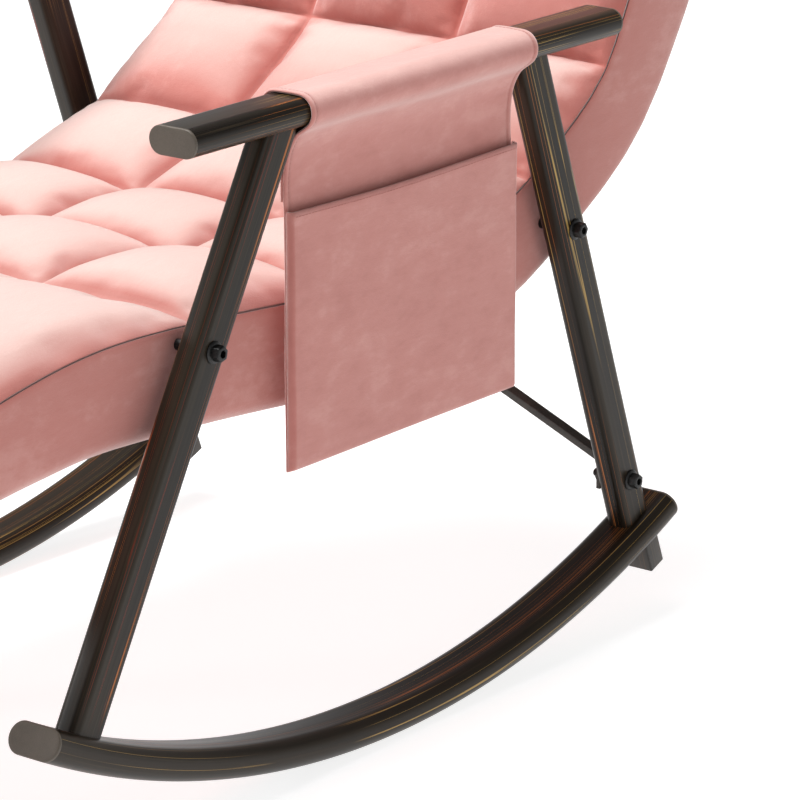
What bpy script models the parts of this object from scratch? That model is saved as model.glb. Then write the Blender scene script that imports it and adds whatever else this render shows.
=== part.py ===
"""Rocking nursery chair: two bent tube side frames, a one-piece cushion on an inner
frame, and a fabric pocket hung over the right armrest.  Metres, +Z up, the sitter
faces -Y, +X is the side with the pocket."""
import math

import bmesh
import bpy
import numpy as np

# ---------------------------------------------------------------- driving sizes
GAP = 0.0003               # clearance between parts that touch
HOLE_PLAY = 0.0004         # radial play of a bolt in its hole
WALL = 0.0015              # wall of the steel frame tube

ARM_HEIGHT = 0.590         # centre of the armrests above the floor
SEAT_HALF = 0.262          # cushion half width at its seam
SIDE_GAP = 0.0143          # cushion seam to the inner face of the legs
ARM_W, ARM_T = 0.0502, 0.0250      # flat oval tube of the armrests
ARM_FRONT, ARM_REAR = -0.2852, 0.3150
LEG_W, LEG_T, LEG_R = 0.0260, 0.0380, 0.0080
FRAME_HALF = SEAT_HALF + SIDE_GAP + LEG_W / 2   # centre plane of a side frame
ROCK_W, ROCK_T = 0.0546, 0.0288    # flat oval tube of the rockers
ROCK_RADIUS = 1.0040       # centreline radius of the rockers
ROCK_FRONT, ROCK_REAR = -0.4646, 0.4122   # ends of a rocker's centreline
FLAT_FRONT, FLAT_REAR = -0.040, 0.095   # the part of each rocker that meets the floor
FOOT_LEVEL = 0.100         # height at which the feet of the legs are placed
LEG_FRONT_TOP, LEG_FRONT_FOOT = -0.1490, -0.4255
LEG_REAR_TOP, LEG_REAR_FOOT = 0.1942, 0.3707
LOW_BOLT_HEIGHT = 0.1424
BLOCK_RUN, BLOCK_DROP = 0.0212, 0.0362     # stop block along and below the rocker
HANGER_DROP = 0.0137       # seam down to the front seat bolt

PAD_DEPTH = 0.030          # seam down to the split between pad and under cover
GUSSET = 0.093             # seam down to the underside, where the pad is at its nominal depth
CROWN = 0.019              # rise of the pad above the seam
RAIL = 0.020               # square tube of the seat frame
RAIL_N = -0.046            # rail centre below the seam line
RAIL_X = SEAT_HALF - 0.030 # rail centre from the middle of the chair
PLATE = 0.004              # hanger and stay plates

# seam line of the cushion side, y and z, from the front nose to the top of the back
SEAM = ((-0.592, 0.338), (-0.583, 0.358), (-0.562, 0.3765), (-0.520, 0.3950), (-0.467, 0.4080),
        (-0.407, 0.4184), (-0.347, 0.4240), (-0.308, 0.4243), (-0.240, 0.4212), (-0.172, 0.4165), (-0.111, 0.4110), (-0.040, 0.4050),
        (0.030, 0.4030), (0.090, 0.4062), (0.150, 0.4155), (0.200, 0.4300), (0.242, 0.4490),
        (0.272, 0.4655), (0.302, 0.4830), (0.331, 0.5020), (0.353, 0.5200), (0.370, 0.5400),
        (0.3825, 0.5600), (0.3935, 0.5800), (0.4040, 0.6000), (0.4300, 0.6500), (0.4560, 0.7030),
        (0.4800, 0.7560), (0.5020, 0.8080), (0.5210, 0.8580), (0.5370, 0.9050))

# share of the depth below the pad, against distance along the seam: thin nose, full back
DEPTH_SHARE = ((0.0, 0.34), (0.05, 0.64), (0.10, 0.80), (0.20, 0.93), (0.32, 1.0), (0.92, 1.0), (1.02, 1.06),
               (1.11, 1.20), (1.25, 1.22), (1.45, 1.10))

CLOTH = 0.0026             # thickness of the pocket fabric
POCKET_LEG_GAP = 0.005     # pocket edges to the legs, just under the arm
POCKET_PLANE = FRAME_HALF - 0.0013      # outer face of the hanging panel
POCKET_BOTTOM, POCKET_MOUTH = 0.273, 0.502
POUCH_DEPTH = 0.0080
POUCH_WALL = 0.0020

for old in list(bpy.data.objects):
    bpy.data.objects.remove(old, do_unlink=True)

# ---------------------------------------------------------------- materials
def material(name, colour, roughness, metallic=0.0):
    m = bpy.data.materials.new(name)
    m.use_nodes = True
    b = m.node_tree.nodes["Principled BSDF"]
    b.inputs["Base Color"].default_value = (*colour, 1.0)
    b.inputs["Roughness"].default_value = roughness
    b.inputs["Metallic"].default_value = metallic
    return m


FRAME_MAT = material("frame_finish", (0.045, 0.035, 0.025), 0.35, 0.3)
BLOCK_MAT = material("stop_block", (0.045, 0.035, 0.028), 0.5)
CAP_MAT = material("end_cap", (0.12, 0.10, 0.085), 0.5)
BOLT_MAT = material("black_hardware", (0.012, 0.012, 0.012), 0.4, 0.6)
STEEL_MAT = material("inner_steel", (0.05, 0.05, 0.05), 0.5, 0.4)
VELVET_MAT = material("velvet", (0.75, 0.38, 0.34), 0.9)
LINING_MAT = material("support_cloth", (0.10, 0.10, 0.10), 0.9)
POCKET_MAT = material("pocket_velvet", (0.52, 0.24, 0.22), 0.9)


# ---------------------------------------------------------------- mesh helpers
def finish(name, verts, faces, mat):
    """One closed mesh object with outward faces."""
    me = bpy.data.meshes.new(name)
    me.from_pydata([tuple(p) for p in verts], [], faces)
    me.materials.append(mat)
    bm = bmesh.new()
    bm.from_mesh(me)
    bmesh.ops.recalc_face_normals(bm, faces=bm.faces)
    bm.to_mesh(me)
    bm.free()
    ob = bpy.data.objects.new(name, me)
    bpy.context.collection.objects.link(ob)
    return ob


def loft(name, rings, mat, ring_closed=False):
    """Skin rings of equal length; ends are closed by a face unless the rings form a loop."""
    n = len(rings[0])
    verts = [p for r in rings for p in r]
    faces = []
    pairs = len(rings) if ring_closed else len(rings) - 1
    for i in range(pairs):
        a, b = i * n, ((i + 1) % len(rings)) * n
        for j in range(n):
            k = (j + 1) % n
            faces.append((a + j, a + k, b + k, b + j))
    if not ring_closed:
        faces.append(tuple(range(n - 1, -1, -1)))
        last = (len(rings) - 1) * n
        faces.append(tuple(range(last, last + n)))
    return finish(name, verts, faces, mat)


def cut(ob, cutters):
    """Boolean difference of simple closed cutters."""
    for c in cutters:
        m = ob.modifiers.new("cut", "BOOLEAN")
        m.operation = "DIFFERENCE"
        m.solver = "EXACT"
        m.object = c
        c.hide_render = True
        c.display_type = "WIRE"
    dg = bpy.context.evaluated_depsgraph_get()
    me = bpy.data.meshes.new_from_object(ob.evaluated_get(dg))
    ob.modifiers.clear()
    ob.data = me
    for c in cutters:
        bpy.data.objects.remove(c, do_unlink=True)
    return ob


def rounded(w, t, r, steps=4):
    """Rounded rectangle outline, w along u and t along v, counter-clockwise."""
    r = min(r, w / 2, t / 2)
    flat_u, flat_v = w / 2 - r, t / 2 - r
    pts = []
    for k, (su, sv) in enumerate(((1, 1), (-1, 1), (-1, -1), (1, -1))):
        for j in range(steps + 1):
            a = math.pi / 2 * (k + j / steps)
            p = (su * flat_u + r * math.cos(a), sv * flat_v + r * math.sin(a))
            if not pts or math.dist(p, pts[-1]) > 1e-6:
                pts.append(p)
    if math.dist(pts[0], pts[-1]) < 1e-6:
        pts.pop()
    return pts


def ring_x(section, x, centre, v_axis, along=None, cut_point=None, cut_normal=None):
    """Place a section in 3-D: u along X, v along v_axis (y, z); slide points along the
    direction `along` onto a cutting plane when one is given."""
    out = []
    for u, v in section:
        y, z = centre[0] + v * v_axis[0], centre[1] + v * v_axis[1]
        if cut_point is not None:
            d = along[0] * cut_normal[0] + along[1] * cut_normal[1]
            s = ((cut_point[0] - y) * cut_normal[0] + (cut_point[1] - z) * cut_normal[1]) / d
            y, z = y + s * along[0], z + s * along[1]
        out.append((x + u, y, z))
    return out


def hollow(name, outer, inner, mat):
    """Open-ended tube from matching outer and inner ring lists."""
    return loft(name, list(outer) + list(reversed(inner)), mat, ring_closed=True)


def turned(name, x0, side, centre, profile, mat, sides=12, closed=False):
    """Body around an axis along X: profile rows are (distance outward, radius, hex?)."""
    rings = []
    for d, r, is_hex in profile:
        ring = []
        for j in range(sides):
            a = 2 * math.pi * j / sides
            rr = r
            if is_hex:
                rr = r / math.cos((a + math.pi / 6) % (math.pi / 3) - math.pi / 6)
            ring.append((x0 + side * d, centre[0] + rr * math.sin(a), centre[1] + rr * math.cos(a)))
        rings.append(ring)
    return loft(name, rings, mat, ring_closed=closed)


def rod_cutter(x0, x1, centre, r, sides=12):
    return turned("cutter", x0, 1.0, centre, ((0.0, r, False), (x1 - x0, r, False)), FRAME_MAT, sides)


def block(name, lo, hi, mat):
    (a, b, c), (d, e, f) = lo, hi
    v = [(x, y, z) for x in (a, d) for y in (b, e) for z in (c, f)]
    faces = [(0, 1, 3, 2), (4, 6, 7, 5), (0, 4, 5, 1), (2, 3, 7, 6), (0, 2, 6, 4), (1, 5, 7, 3)]
    return finish(name, v, faces, mat)


# ---------------------------------------------------------------- side frames
def rocker_stations():
    """Centre point, outward normal and tangent of each rocker section."""
    front = list(np.linspace(LEG_FRONT_FOOT + 0.040, FLAT_FRONT - 0.072, 5))
    rear = list(np.linspace(FLAT_REAR + 0.054, LEG_REAR_FOOT - 0.040, 4))
    ys = [ROCK_FRONT, LEG_FRONT_FOOT - 0.030, *front, None, None, *rear,
          LEG_REAR_FOOT + 0.030, ROCK_REAR]
    rows = []
    for i, y in enumerate(ys):
        if y is None:
            rows.append((FLAT_FRONT if ys[i - 1] is not None else FLAT_REAR, ROCK_T / 2, 0.0, -1.0))
        else:
            t = math.asin(y / ROCK_RADIUS)
            rows.append((y, ROCK_RADIUS * (1 - math.cos(t)) + ROCK_T / 2, math.sin(t), -math.cos(t)))
    return rows


def slope_of(top, foot):
    return (foot - top) / (ARM_HEIGHT - FOOT_LEVEL)


def leg_y(top, foot, z):
    """Where the centre line of a leg is at height z."""
    return top + slope_of(top, foot) * (ARM_HEIGHT - z)


def rocker_top(y):
    """Height of the rocker's faceted top surface at y, and the facet's slope."""
    rows = rocker_stations()
    pts = [(r[0] - r[2] * ROCK_T / 2, r[1] - r[3] * ROCK_T / 2) for r in rows]
    for p, q in zip(pts, pts[1:]):
        if p[0] <= y <= q[0]:
            s = (q[1] - p[1]) / (q[0] - p[0])
            return p[1] + s * (y - p[0]), s
    raise ValueError("outside the rocker")


OVAL_ARM = rounded(ARM_W, ARM_T, ARM_T / 2, 5)
OVAL_ARM_IN = rounded(ARM_W - 2 * WALL, ARM_T - 2 * WALL, ARM_T / 2 - WALL, 5)
OVAL_ROCK = rounded(ROCK_W, ROCK_T, ROCK_T / 2, 5)
OVAL_ROCK_IN = rounded(ROCK_W - 2 * WALL, ROCK_T - 2 * WALL, ROCK_T / 2 - WALL, 5)
LEG_SEC = rounded(LEG_W, LEG_T, LEG_R, 3)
LEG_SEC_IN = rounded(LEG_W - 2 * WALL, LEG_T - 2 * WALL, LEG_R - WALL, 3)


def grown(section_w, section_t, extra, steps=5):
    return rounded(section_w + 2 * extra, section_t + 2 * extra, section_t / 2 + extra, steps)


def plug(name, x, centre, tangent, w, t):
    """End plug: a face plate over the tube end and a stub pushed into the tube."""
    v = (-tangent[1], tangent[0])
    rows = ((-0.014, -WALL - 0.0012), (-0.012, -WALL - GAP), (GAP, -WALL - GAP),
            (GAP, 0.0), (0.0020, 0.0), (0.0030, -0.0010))
    rings = []
    for d, extra in rows:
        c = (centre[0] + tangent[0] * d, centre[1] + tangent[1] * d)
        rings.append(ring_x(grown(w, t, extra), x, c, v))
    return loft(name, rings, CAP_MAT)


def leg(name, x, top, foot, bolts):
    """Oval leg cut flat under the arm and along the rocker at the bottom."""
    slope = slope_of(top, foot)
    d = np.array([-slope, 1.0]) / math.hypot(slope, 1.0)      # upward along the leg (y, z)
    v = (-d[1], d[0])
    z = 0.09
    for _ in range(20):
        z, facet = rocker_top(leg_y(top, foot, z))
    low = (leg_y(top, foot, z), z)
    n = np.array([-facet, 1.0]) / math.hypot(facet, 1.0)
    low = (low[0] + n[0] * GAP, low[1] + n[1] * GAP)
    z_top = ARM_HEIGHT - ARM_T / 2 - GAP
    high = (leg_y(top, foot, z_top), z_top)
    sets = []
    for sec in (LEG_SEC, LEG_SEC_IN):
        a = ring_x(sec, x, low, v, d, low, n)
        b = ring_x(sec, x, high, v, d, high, (0.0, 1.0))
        sets.append((a, b))
    ob = hollow(name, sets[0], sets[1], FRAME_MAT)
    cutters = [rod_cutter(x - 0.03, x + 0.03, c, 0.0040 + HOLE_PLAY) for c in bolts]
    return cut(ob, cutters)


def side_frame(tag, side):
    x = side * FRAME_HALF
    ends = ((ARM_FRONT + 0.003, ARM_HEIGHT), (ARM_REAR - 0.003, ARM_HEIGHT))
    out = [ring_x(OVAL_ARM, x, c, (0.0, 1.0)) for c in ends]
    inn = [ring_x(OVAL_ARM_IN, x, c, (0.0, 1.0)) for c in ends]
    hollow("armrest_" + tag, out, inn, FRAME_MAT)
    plug("armrest_front_cap_" + tag, x, ends[0], (-1.0, 0.0), ARM_W, ARM_T)
    plug("armrest_rear_cap_" + tag, x, ends[1], (1.0, 0.0), ARM_W, ARM_T)

    rows = rocker_stations()
    out = [ring_x(OVAL_ROCK, x, (r[0], r[1]), (-r[2], -r[3])) for r in rows]
    inn = [ring_x(OVAL_ROCK_IN, x, (r[0], r[1]), (-r[2], -r[3])) for r in rows]
    hollow("rocker_" + tag, out, inn, FRAME_MAT)
    a, b = rows[0], rows[-1]
    plug("rocker_front_cap_" + tag, x, (a[0], a[1]), (a[3], -a[2]), ROCK_W, ROCK_T)
    plug("rocker_rear_cap_" + tag, x, (b[0], b[1]), (-b[3], b[2]), ROCK_W, ROCK_T)

    leg("front_leg_" + tag, x, LEG_FRONT_TOP, LEG_FRONT_FOOT, (BOLT_FRONT,))
    leg("rear_leg_" + tag, x, LEG_REAR_TOP, LEG_REAR_FOOT, (BOLT_REAR, BOLT_LOW))

    # stop block under the tail of the rocker, square to the tube
    (p, q) = rows[-3], rows[-2]
    t = np.array([q[0] - p[0], q[1] - p[1]])
    t = t / np.linalg.norm(t)
    n = np.array([t[1], -t[0]])                                # away from the tube
    base = np.array([q[0], q[1]]) - t * 0.0070 + n * (ROCK_T / 2 + GAP)
    pts = [base - t * BLOCK_RUN, base, base + n * BLOCK_DROP, base - t * BLOCK_RUN + n * BLOCK_DROP]
    rings = [[(x + s * 0.0138, c[0], c[1]) for c in pts] for s in (-1, 1)]
    loft("stop_block_" + tag, rings, BLOCK_MAT)


# ---------------------------------------------------------------- hardware
def bolt(name, side, centre, reach):
    """Flanged hex bolt with a socket, head on the outside of the leg, reach = shank length."""
    x0 = side * (FRAME_HALF + LEG_W / 2 + GAP)
    rows = ((-reach, 0.0030, False), (-reach + 0.001, 0.0040, False), (0.0, 0.0040, False),
            (0.0, 0.0098, False), (0.0012, 0.0098, False), (0.0022, 0.0066, False),
            (0.0022, 0.0065, True), (0.0092, 0.0065, True), (0.0100, 0.0057, True),
            (0.0100, 0.0030, True), (0.0060, 0.0030, True))
    return turned(name, x0, side, centre, rows, BOLT_MAT)


def nut(name, x0, side, centre):
    """Hex nut whose outer face is at x0, growing towards the middle of the chair."""
    r = 0.0040 + HOLE_PLAY
    rows = ((0.0, r, False), (0.0, 0.0064, True), (0.0062, 0.0064, True), (0.0068, 0.0058, True),
            (0.0068, r, False))
    return turned(name, x0, -side, centre, rows, BOLT_MAT, closed=True)


def washer(name, x0, side, centre, length, r):
    rows = ((0.0, 0.0040 + HOLE_PLAY, False), (0.0, r, False), (length, r, False),
            (length, 0.0040 + HOLE_PLAY, False))
    return turned(name, x0, -side, centre, rows, STEEL_MAT, closed=True)


# ---------------------------------------------------------------- cushion and its frame
def seam_curve(count):
    """Evenly spaced points on the seam line with unit tangents and upward normals (y, z)."""
    p = np.array(SEAM)
    t = np.concatenate([[0.0], np.cumsum(np.linalg.norm(np.diff(p, axis=0), axis=1))])
    m = np.gradient(p, t, axis=0)
    s = np.linspace(0.0, t[-1], count)
    out = []
    for v in s:
        i = min(max(int(np.searchsorted(t, v) - 1), 0), len(t) - 2)
        h = t[i + 1] - t[i]
        u = (v - t[i]) / h
        a = (2 * u**3 - 3 * u**2 + 1) * p[i] + (u**3 - 2 * u**2 + u) * h * m[i]
        out.append(a + (-2 * u**3 + 3 * u**2) * p[i + 1] + (u**3 - u**2) * h * m[i + 1])
    c = np.array(out)
    d = np.gradient(c, s, axis=0)
    for _ in range(2):                                       # calm the turning of the normals
        d[1:-1] = (d[:-2] + 2 * d[1:-1] + d[2:]) / 4
    d /= np.linalg.norm(d, axis=1)[:, None]
    n = np.stack([-d[:, 1], d[:, 0]], 1)
    return s, c, d, n


S, C, D, N = seam_curve(49)
LENGTH = float(S[-1])


def at(s):
    """Point, tangent and normal at a distance along the seam."""
    c = np.array([np.interp(s, S, C[:, k]) for k in (0, 1)])
    d = np.array([np.interp(s, S, D[:, k]) for k in (0, 1)])
    d /= np.linalg.norm(d)
    return c, d, np.array([-d[1], d[0]])


def sweep(name, section, s0, s1, mat, count=36, inner=None, deep=False):
    """Carry an (x, n) outline along the seam line; `inner` gives a hollow tube, and `deep`
    lets the depth below the pad follow DEPTH_SHARE."""
    outer_rings, inner_rings = [], []
    for s in np.linspace(s0, s1, count):
        c, _, n = at(s)
        if deep:
            share = float(np.interp(s, *zip(*DEPTH_SHARE)))
            outer_rings.append([(x, c[0] + n[0] * k, c[1] + n[1] * k) for x, k in
                                ((x, -PAD_DEPTH + (h + PAD_DEPTH) * (share if h < -PAD_DEPTH else 1.0))
                                 for x, h in section)])
            continue
        outer_rings.append([(x, c[0] + n[0] * h, c[1] + n[1] * h) for x, h in section])
        if inner:
            inner_rings.append([(x, c[0] + n[0] * h, c[1] + n[1] * h) for x, h in inner])
    if inner:
        return hollow(name, outer_rings, inner_rings, mat)
    return loft(name, outer_rings, mat)


def s_at_y(y):
    return float(np.interp(y, C[:, 0], S))


def seat():
    w = SEAT_HALF
    pad = [(w, -PAD_DEPTH), (w + 0.001, -0.012), (w - 0.002, 0.001), (w - 0.012, 0.009),
           (w - 0.050, CROWN - 0.003), (w - 0.120, CROWN), (0.0, CROWN)]
    pad = pad + [(-x, h) for x, h in reversed(pad[:-1])]
    top = sweep("seat_and_back_cushion", pad, 0.0, LENGTH, VELVET_MAT, 44)
    low = -GUSSET
    under = [(w, -PAD_DEPTH - GAP), (w + 0.001, low + 0.022), (w - 0.0025, low + 0.004),
             (w - 0.010, low), (0.0, low)]
    under = under + [(-x, h) for x, h in reversed(under[:-1])]
    cover = sweep("under_cover", under, 0.0, LENGTH, VELVET_MAT, 44, deep=True)
    e = w - 0.007
    room = [(e, -0.010), (e, low + 0.022), (e - 0.008, low + 0.0035), (0.0, low + 0.0035)]
    room = room + [(-x, h) for x, h in reversed(room[:-1])]
    hollowing = sweep("cutter", room, 0.012, LENGTH - 0.012, VELVET_MAT, 44, deep=True)
    mid = SEAT_HALF + 0.005
    rod_f = [rod_cutter(s * mid - 0.028, s * mid + 0.028, BOLT_REAR, SPACER_R + 0.0006) for s in (-1, 1)]
    slots = []
    for x0, (y, z) in zip(ANCHOR_X, ANCHOR_YZ):
        slots.append(block("cutter", (x0 - 0.0043, y - 0.0155, z - 0.010),
                           (x0 + 0.0043, y + 0.0155, z + 0.032), VELVET_MAT))
    cut(cover, [hollowing] + rod_f + slots)
    # room in the pad for the front hanger plates, their nuts and spacers
    tools = []
    for s in (-1, 1):
        x0 = RAIL_X + RAIL / 2
        a, b = sorted((s * (x0 - 0.0105), s * (x0 + PLATE + 0.0008)))
        tools.append(block("cutter", (a, BOLT_FRONT[0] - 0.019, BOLT_FRONT[1] - 0.040),
                           (b, BOLT_FRONT[0] + 0.019, BOLT_FRONT[1] + 0.0140), VELVET_MAT))
        tools.append(rod_cutter(s * mid - 0.024, s * mid + 0.024, BOLT_FRONT, SPACER_R + 0.0006))
    cut(top, tools)

    # bent side rails and cross bars of the seat frame
    half = RAIL / 2
    sec = [(half, -half), (half, half), (-half, half), (-half, -half)]
    tw = half - 0.0012
    ins = [(tw, -tw), (tw, tw), (-tw, tw), (-tw, -tw)]
    for tag, s in (("right", 1), ("left", -1)):
        o = [(s * RAIL_X + x, RAIL_N + h) for x, h in sec]
        i = [(s * RAIL_X + x, RAIL_N + h) for x, h in ins]
        rail = sweep("seat_rail_" + tag, o, 0.085, LENGTH - 0.030, STEEL_MAT, 40, i)
        cut(rail, [rod_cutter(s * RAIL_X - 0.02, s * RAIL_X + 0.02, BOLT_REAR, 0.0040 + HOLE_PLAY)])
        x0 = s * (RAIL_X + half + GAP)
        lo, hi = sorted((x0, x0 + s * PLATE))
        low_z = BOLT_FRONT[1] + HANGER_DROP + RAIL_N - half
        plate = block("hanger_plate_" + tag, (lo, BOLT_FRONT[0] - 0.018, low_z),
                      (hi, BOLT_FRONT[0] + 0.018, BOLT_FRONT[1] + 0.013), STEEL_MAT)
        cut(plate, [rod_cutter(lo - 0.01, hi + 0.01, BOLT_FRONT, 0.0040 + HOLE_PLAY)])
    reach = RAIL_X - half - GAP
    for name, s, r, wall in CROSS_BARS:
        c, d, n = at(s)
        p = c + n * RAIL_N
        rows = [(0.0, r, False), (2 * reach, r, False)]
        if wall:
            rows += [(2 * reach, r - wall, False), (0.0, r - wall, False)]
        turned(name, -reach, 1.0, (p[0], p[1]), rows, STEEL_MAT, 12, closed=bool(wall))
    e = RAIL_X - half
    sheet = [(e, -0.0345), (e, -0.0320), (0.0, -0.0320), (-e, -0.0320), (-e, -0.0345), (0.0, -0.0345)]
    sweep("support_cloth_panel", sheet, 0.134, LENGTH - 0.040, LINING_MAT, 40)


def meet(top, foot, drop):
    """Where a leg's centre line meets the line `drop` below the seam."""
    z = 0.40
    for _ in range(60):
        y = leg_y(top, foot, z)
        s = s_at_y(y)
        for _ in range(8):
            c, _, n = at(s)
            s += (y - (c[0] - n[0] * drop)) * 0.8
        c, _, n = at(s)
        z += 0.5 * (c[1] - n[1] * drop - z)
    return (leg_y(top, foot, z), z)


BOLT_FRONT = meet(LEG_FRONT_TOP, LEG_FRONT_FOOT, HANGER_DROP)
BOLT_REAR = meet(LEG_REAR_TOP, LEG_REAR_FOOT, -RAIL_N)
BOLT_LOW = (leg_y(LEG_REAR_TOP, LEG_REAR_FOOT, LOW_BOLT_HEIGHT), LOW_BOLT_HEIGHT)
SPACER_R = 0.0060

CROSS_BARS = (("front_cross_bar", 0.112, 0.0120, 0.0), ("seat_cross_bar", 0.350, 0.0100, 0.0),
              ("rear_seat_cross_bar", s_at_y(BOLT_REAR[0]), 0.0080, 0.0015),
              ("lower_back_cross_bar", LENGTH - 0.300, 0.0080, 0.0015),
              ("top_cross_bar", LENGTH - 0.055, 0.0080, 0.0015))


# ---------------------------------------------------------------- rear diagonal stays
STAY = 0.0095              # square bar
STAY_DIR = np.array([-1.0, -0.1954, 0.5494])
STAY_A = np.array([FRAME_HALF - LEG_W / 2 - PLATE - 0.0011, BOLT_LOW[0] + 0.0121,
                   BOLT_LOW[1] + 0.0076])          # low end, right leg
STAY_B = STAY_A + np.array([0.0, -0.0146, 0.0088])  # the other one passes in front
STAY_CLEAR = 0.0135        # stay centre line to the underside of the cushion at its high end


def under_height(y):
    """Height of the cushion's underside at y."""
    s = s_at_y(y)
    for _ in range(12):
        c, _, n = at(s)
        s += (y - (c[0] - n[0] * GUSSET)) * 0.8
    c, _, n = at(s)
    return c[1] - n[1] * GUSSET


def stay_run(start):
    """How far a stay goes before it comes close under the cushion."""
    run = 0.20
    while True:
        p = start + STAY_DIR * run
        if p[2] > under_height(p[1]) - STAY_CLEAR:
            return run
        run += 0.001


RUNS = (stay_run(STAY_A), stay_run(STAY_B))
ENDS = tuple(p + STAY_DIR * r for p, r in zip((STAY_A, STAY_B), RUNS))
ANCHOR_X = (ENDS[0][0] - 0.0032, -ENDS[1][0] + 0.0032)
ANCHOR_YZ = (ENDS[0][1:], ENDS[1][1:])


def stays():
    u = STAY_DIR / np.linalg.norm(STAY_DIR)
    side_axis = np.array([0.0, 1.0, 0.3603]) / math.hypot(1.0, 0.3603)
    side_axis = side_axis - u * side_axis.dot(u)
    side_axis /= np.linalg.norm(side_axis)
    up = np.cross(u, side_axis)
    h = STAY / 2
    for tag, start, run, flip in (("right", STAY_A, RUNS[0], 1.0), ("left", STAY_B, RUNS[1], -1.0)):
        rings = []
        for r in (0.0, run):
            c = start + STAY_DIR * r
            ring = []
            for a, b in ((h, h), (-h, h), (-h, -h), (h, -h)):
                p = c + side_axis * a + up * b
                p = p + u * ((c[0] - p[0]) / u[0])
                ring.append((flip * p[0], p[1], p[2]))
            rings.append(ring)
        loft("diagonal_stay_" + tag, rings, STEEL_MAT)
        # end plate between the leg and the stay, on the lower bolt
        x0 = FRAME_HALF - LEG_W / 2 - GAP
        lo, hi = sorted((flip * x0, flip * (x0 - PLATE)))
        z0, z1 = BOLT_LOW[1] - 0.011, start[2] + 0.012
        y0, y1 = BOLT_LOW[0] - 0.013, start[1] + 0.010
        plate = block("stay_plate_" + tag, (lo, y0, z0), (hi, y1, z1), STEEL_MAT)
        cut(plate, [rod_cutter(lo - 0.01, hi + 0.01, BOLT_LOW, 0.0040 + HOLE_PLAY)])
    c, d, n = at(CROSS_BARS[2][1])
    bar = c + n * RAIL_N
    for tag, x, yz in (("right", ANCHOR_X[0], ANCHOR_YZ[0]), ("left", ANCHOR_X[1], ANCHOR_YZ[1])):
        top_z = bar[1] - CROSS_BARS[2][2] - GAP
        block("stay_anchor_" + tag, (x - 0.0029, yz[0] - 0.014, yz[1] - 0.009),
              (x + 0.0029, yz[0] + 0.014, top_z), STEEL_MAT)


# ---------------------------------------------------------------- side pocket
def arc_points(cx, cz, r, a0, a1, n):
    return [(cx + r * math.cos(math.radians(a0 + (a1 - a0) * i / n)),
             cz + r * math.sin(math.radians(a0 + (a1 - a0) * i / n))) for i in range(n + 1)]


def pocket():
    r = ARM_T / 2 + GAP + 0.0005 + CLOTH / 2
    off = (ARM_W - ARM_T) / 2
    mid = POCKET_PLANE - CLOTH / 2
    inner_flap = mid - CLOTH - 0.0007
    x, under = FRAME_HALF, ARM_HEIGHT - ARM_T / 2 - 0.0308
    y0 = leg_y(LEG_FRONT_TOP, LEG_FRONT_FOOT, ARM_HEIGHT - 0.030) + POCKET_LEG_GAP \
        + LEG_T / 2 * math.hypot(1.0, slope_of(LEG_FRONT_TOP, LEG_FRONT_FOOT))
    y1 = leg_y(LEG_REAR_TOP, LEG_REAR_FOOT, ARM_HEIGHT - 0.030) - POCKET_LEG_GAP \
        - LEG_T / 2 * math.hypot(1.0, slope_of(LEG_REAR_TOP, LEG_REAR_FOOT))
    path = [(inner_flap, under - 0.037), (inner_flap - 0.0002, under),
            (inner_flap - 0.0035, under + 0.011)]
    path += arc_points(x - off, ARM_HEIGHT, r, 205, 90, 8)
    path += arc_points(x + off, ARM_HEIGHT, r, 90, -32, 8)
    path += [(mid + 0.0105, under + 0.0205), (mid + 0.0030, under + 0.006), (mid, under - 0.010),
             (mid, POCKET_BOTTOM)]
    p = np.array(path)
    t = np.gradient(p, axis=0)
    t /= np.linalg.norm(t, axis=1)[:, None]
    n = np.stack([-t[:, 1], t[:, 0]], 1) * CLOTH / 2
    outline = [tuple(q) for q in p + n] + [tuple(q) for q in (p - n)[::-1]]
    rings = [[(a, y, b) for a, b in outline] for y in (y0, y1)]
    loft("pocket_drape", rings, POCKET_MAT)

    x0 = POCKET_PLANE + GAP
    x1 = POCKET_PLANE + POUCH_DEPTH
    y0, y1 = y0 - 0.001, y1 + 0.002
    body = block("pocket_pouch", (x0, y0, POCKET_BOTTOM), (x1, y1, POCKET_MOUTH), POCKET_MAT)
    room = block("cutter", (x0 - 0.01, y0 + POUCH_WALL, POCKET_BOTTOM + POUCH_WALL),
                 (x1 - POUCH_WALL, y1 - POUCH_WALL, POCKET_MOUTH + 0.01), POCKET_MAT)
    cut(body, [room])


# ---------------------------------------------------------------- build
for tag, side in (("right", 1.0), ("left", -1.0)):
    side_frame(tag, side)
    inner_leg = side * (FRAME_HALF - LEG_W / 2 - GAP)
    rail_out = RAIL_X + RAIL / 2 + GAP
    plate_out = rail_out + PLATE + GAP
    bolt("seat_bolt_front_" + tag, side, BOLT_FRONT, FRAME_HALF + LEG_W / 2 - RAIL_X + 0.0003)
    bolt("seat_bolt_rear_" + tag, side, BOLT_REAR, FRAME_HALF + LEG_W / 2 - RAIL_X + 0.020)
    bolt("stay_bolt_" + tag, side, BOLT_LOW, LEG_W + 0.0155)
    nut("seat_nut_front_" + tag, side * (RAIL_X + RAIL / 2 - 0.0001), side, BOLT_FRONT)
    nut("seat_nut_rear_" + tag, side * (RAIL_X - RAIL / 2 - GAP), side, BOLT_REAR)
    nut("stay_nut_" + tag, inner_leg - side * (PLATE + GAP), side, BOLT_LOW)
    span = abs(inner_leg) - plate_out
    washer("seat_spacer_front_" + tag, inner_leg, side, BOLT_FRONT, span, SPACER_R)
    washer("seat_spacer_rear_" + tag, inner_leg, side, BOLT_REAR, abs(inner_leg) - rail_out, SPACER_R)
seat()
stays()
pocket()

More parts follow.
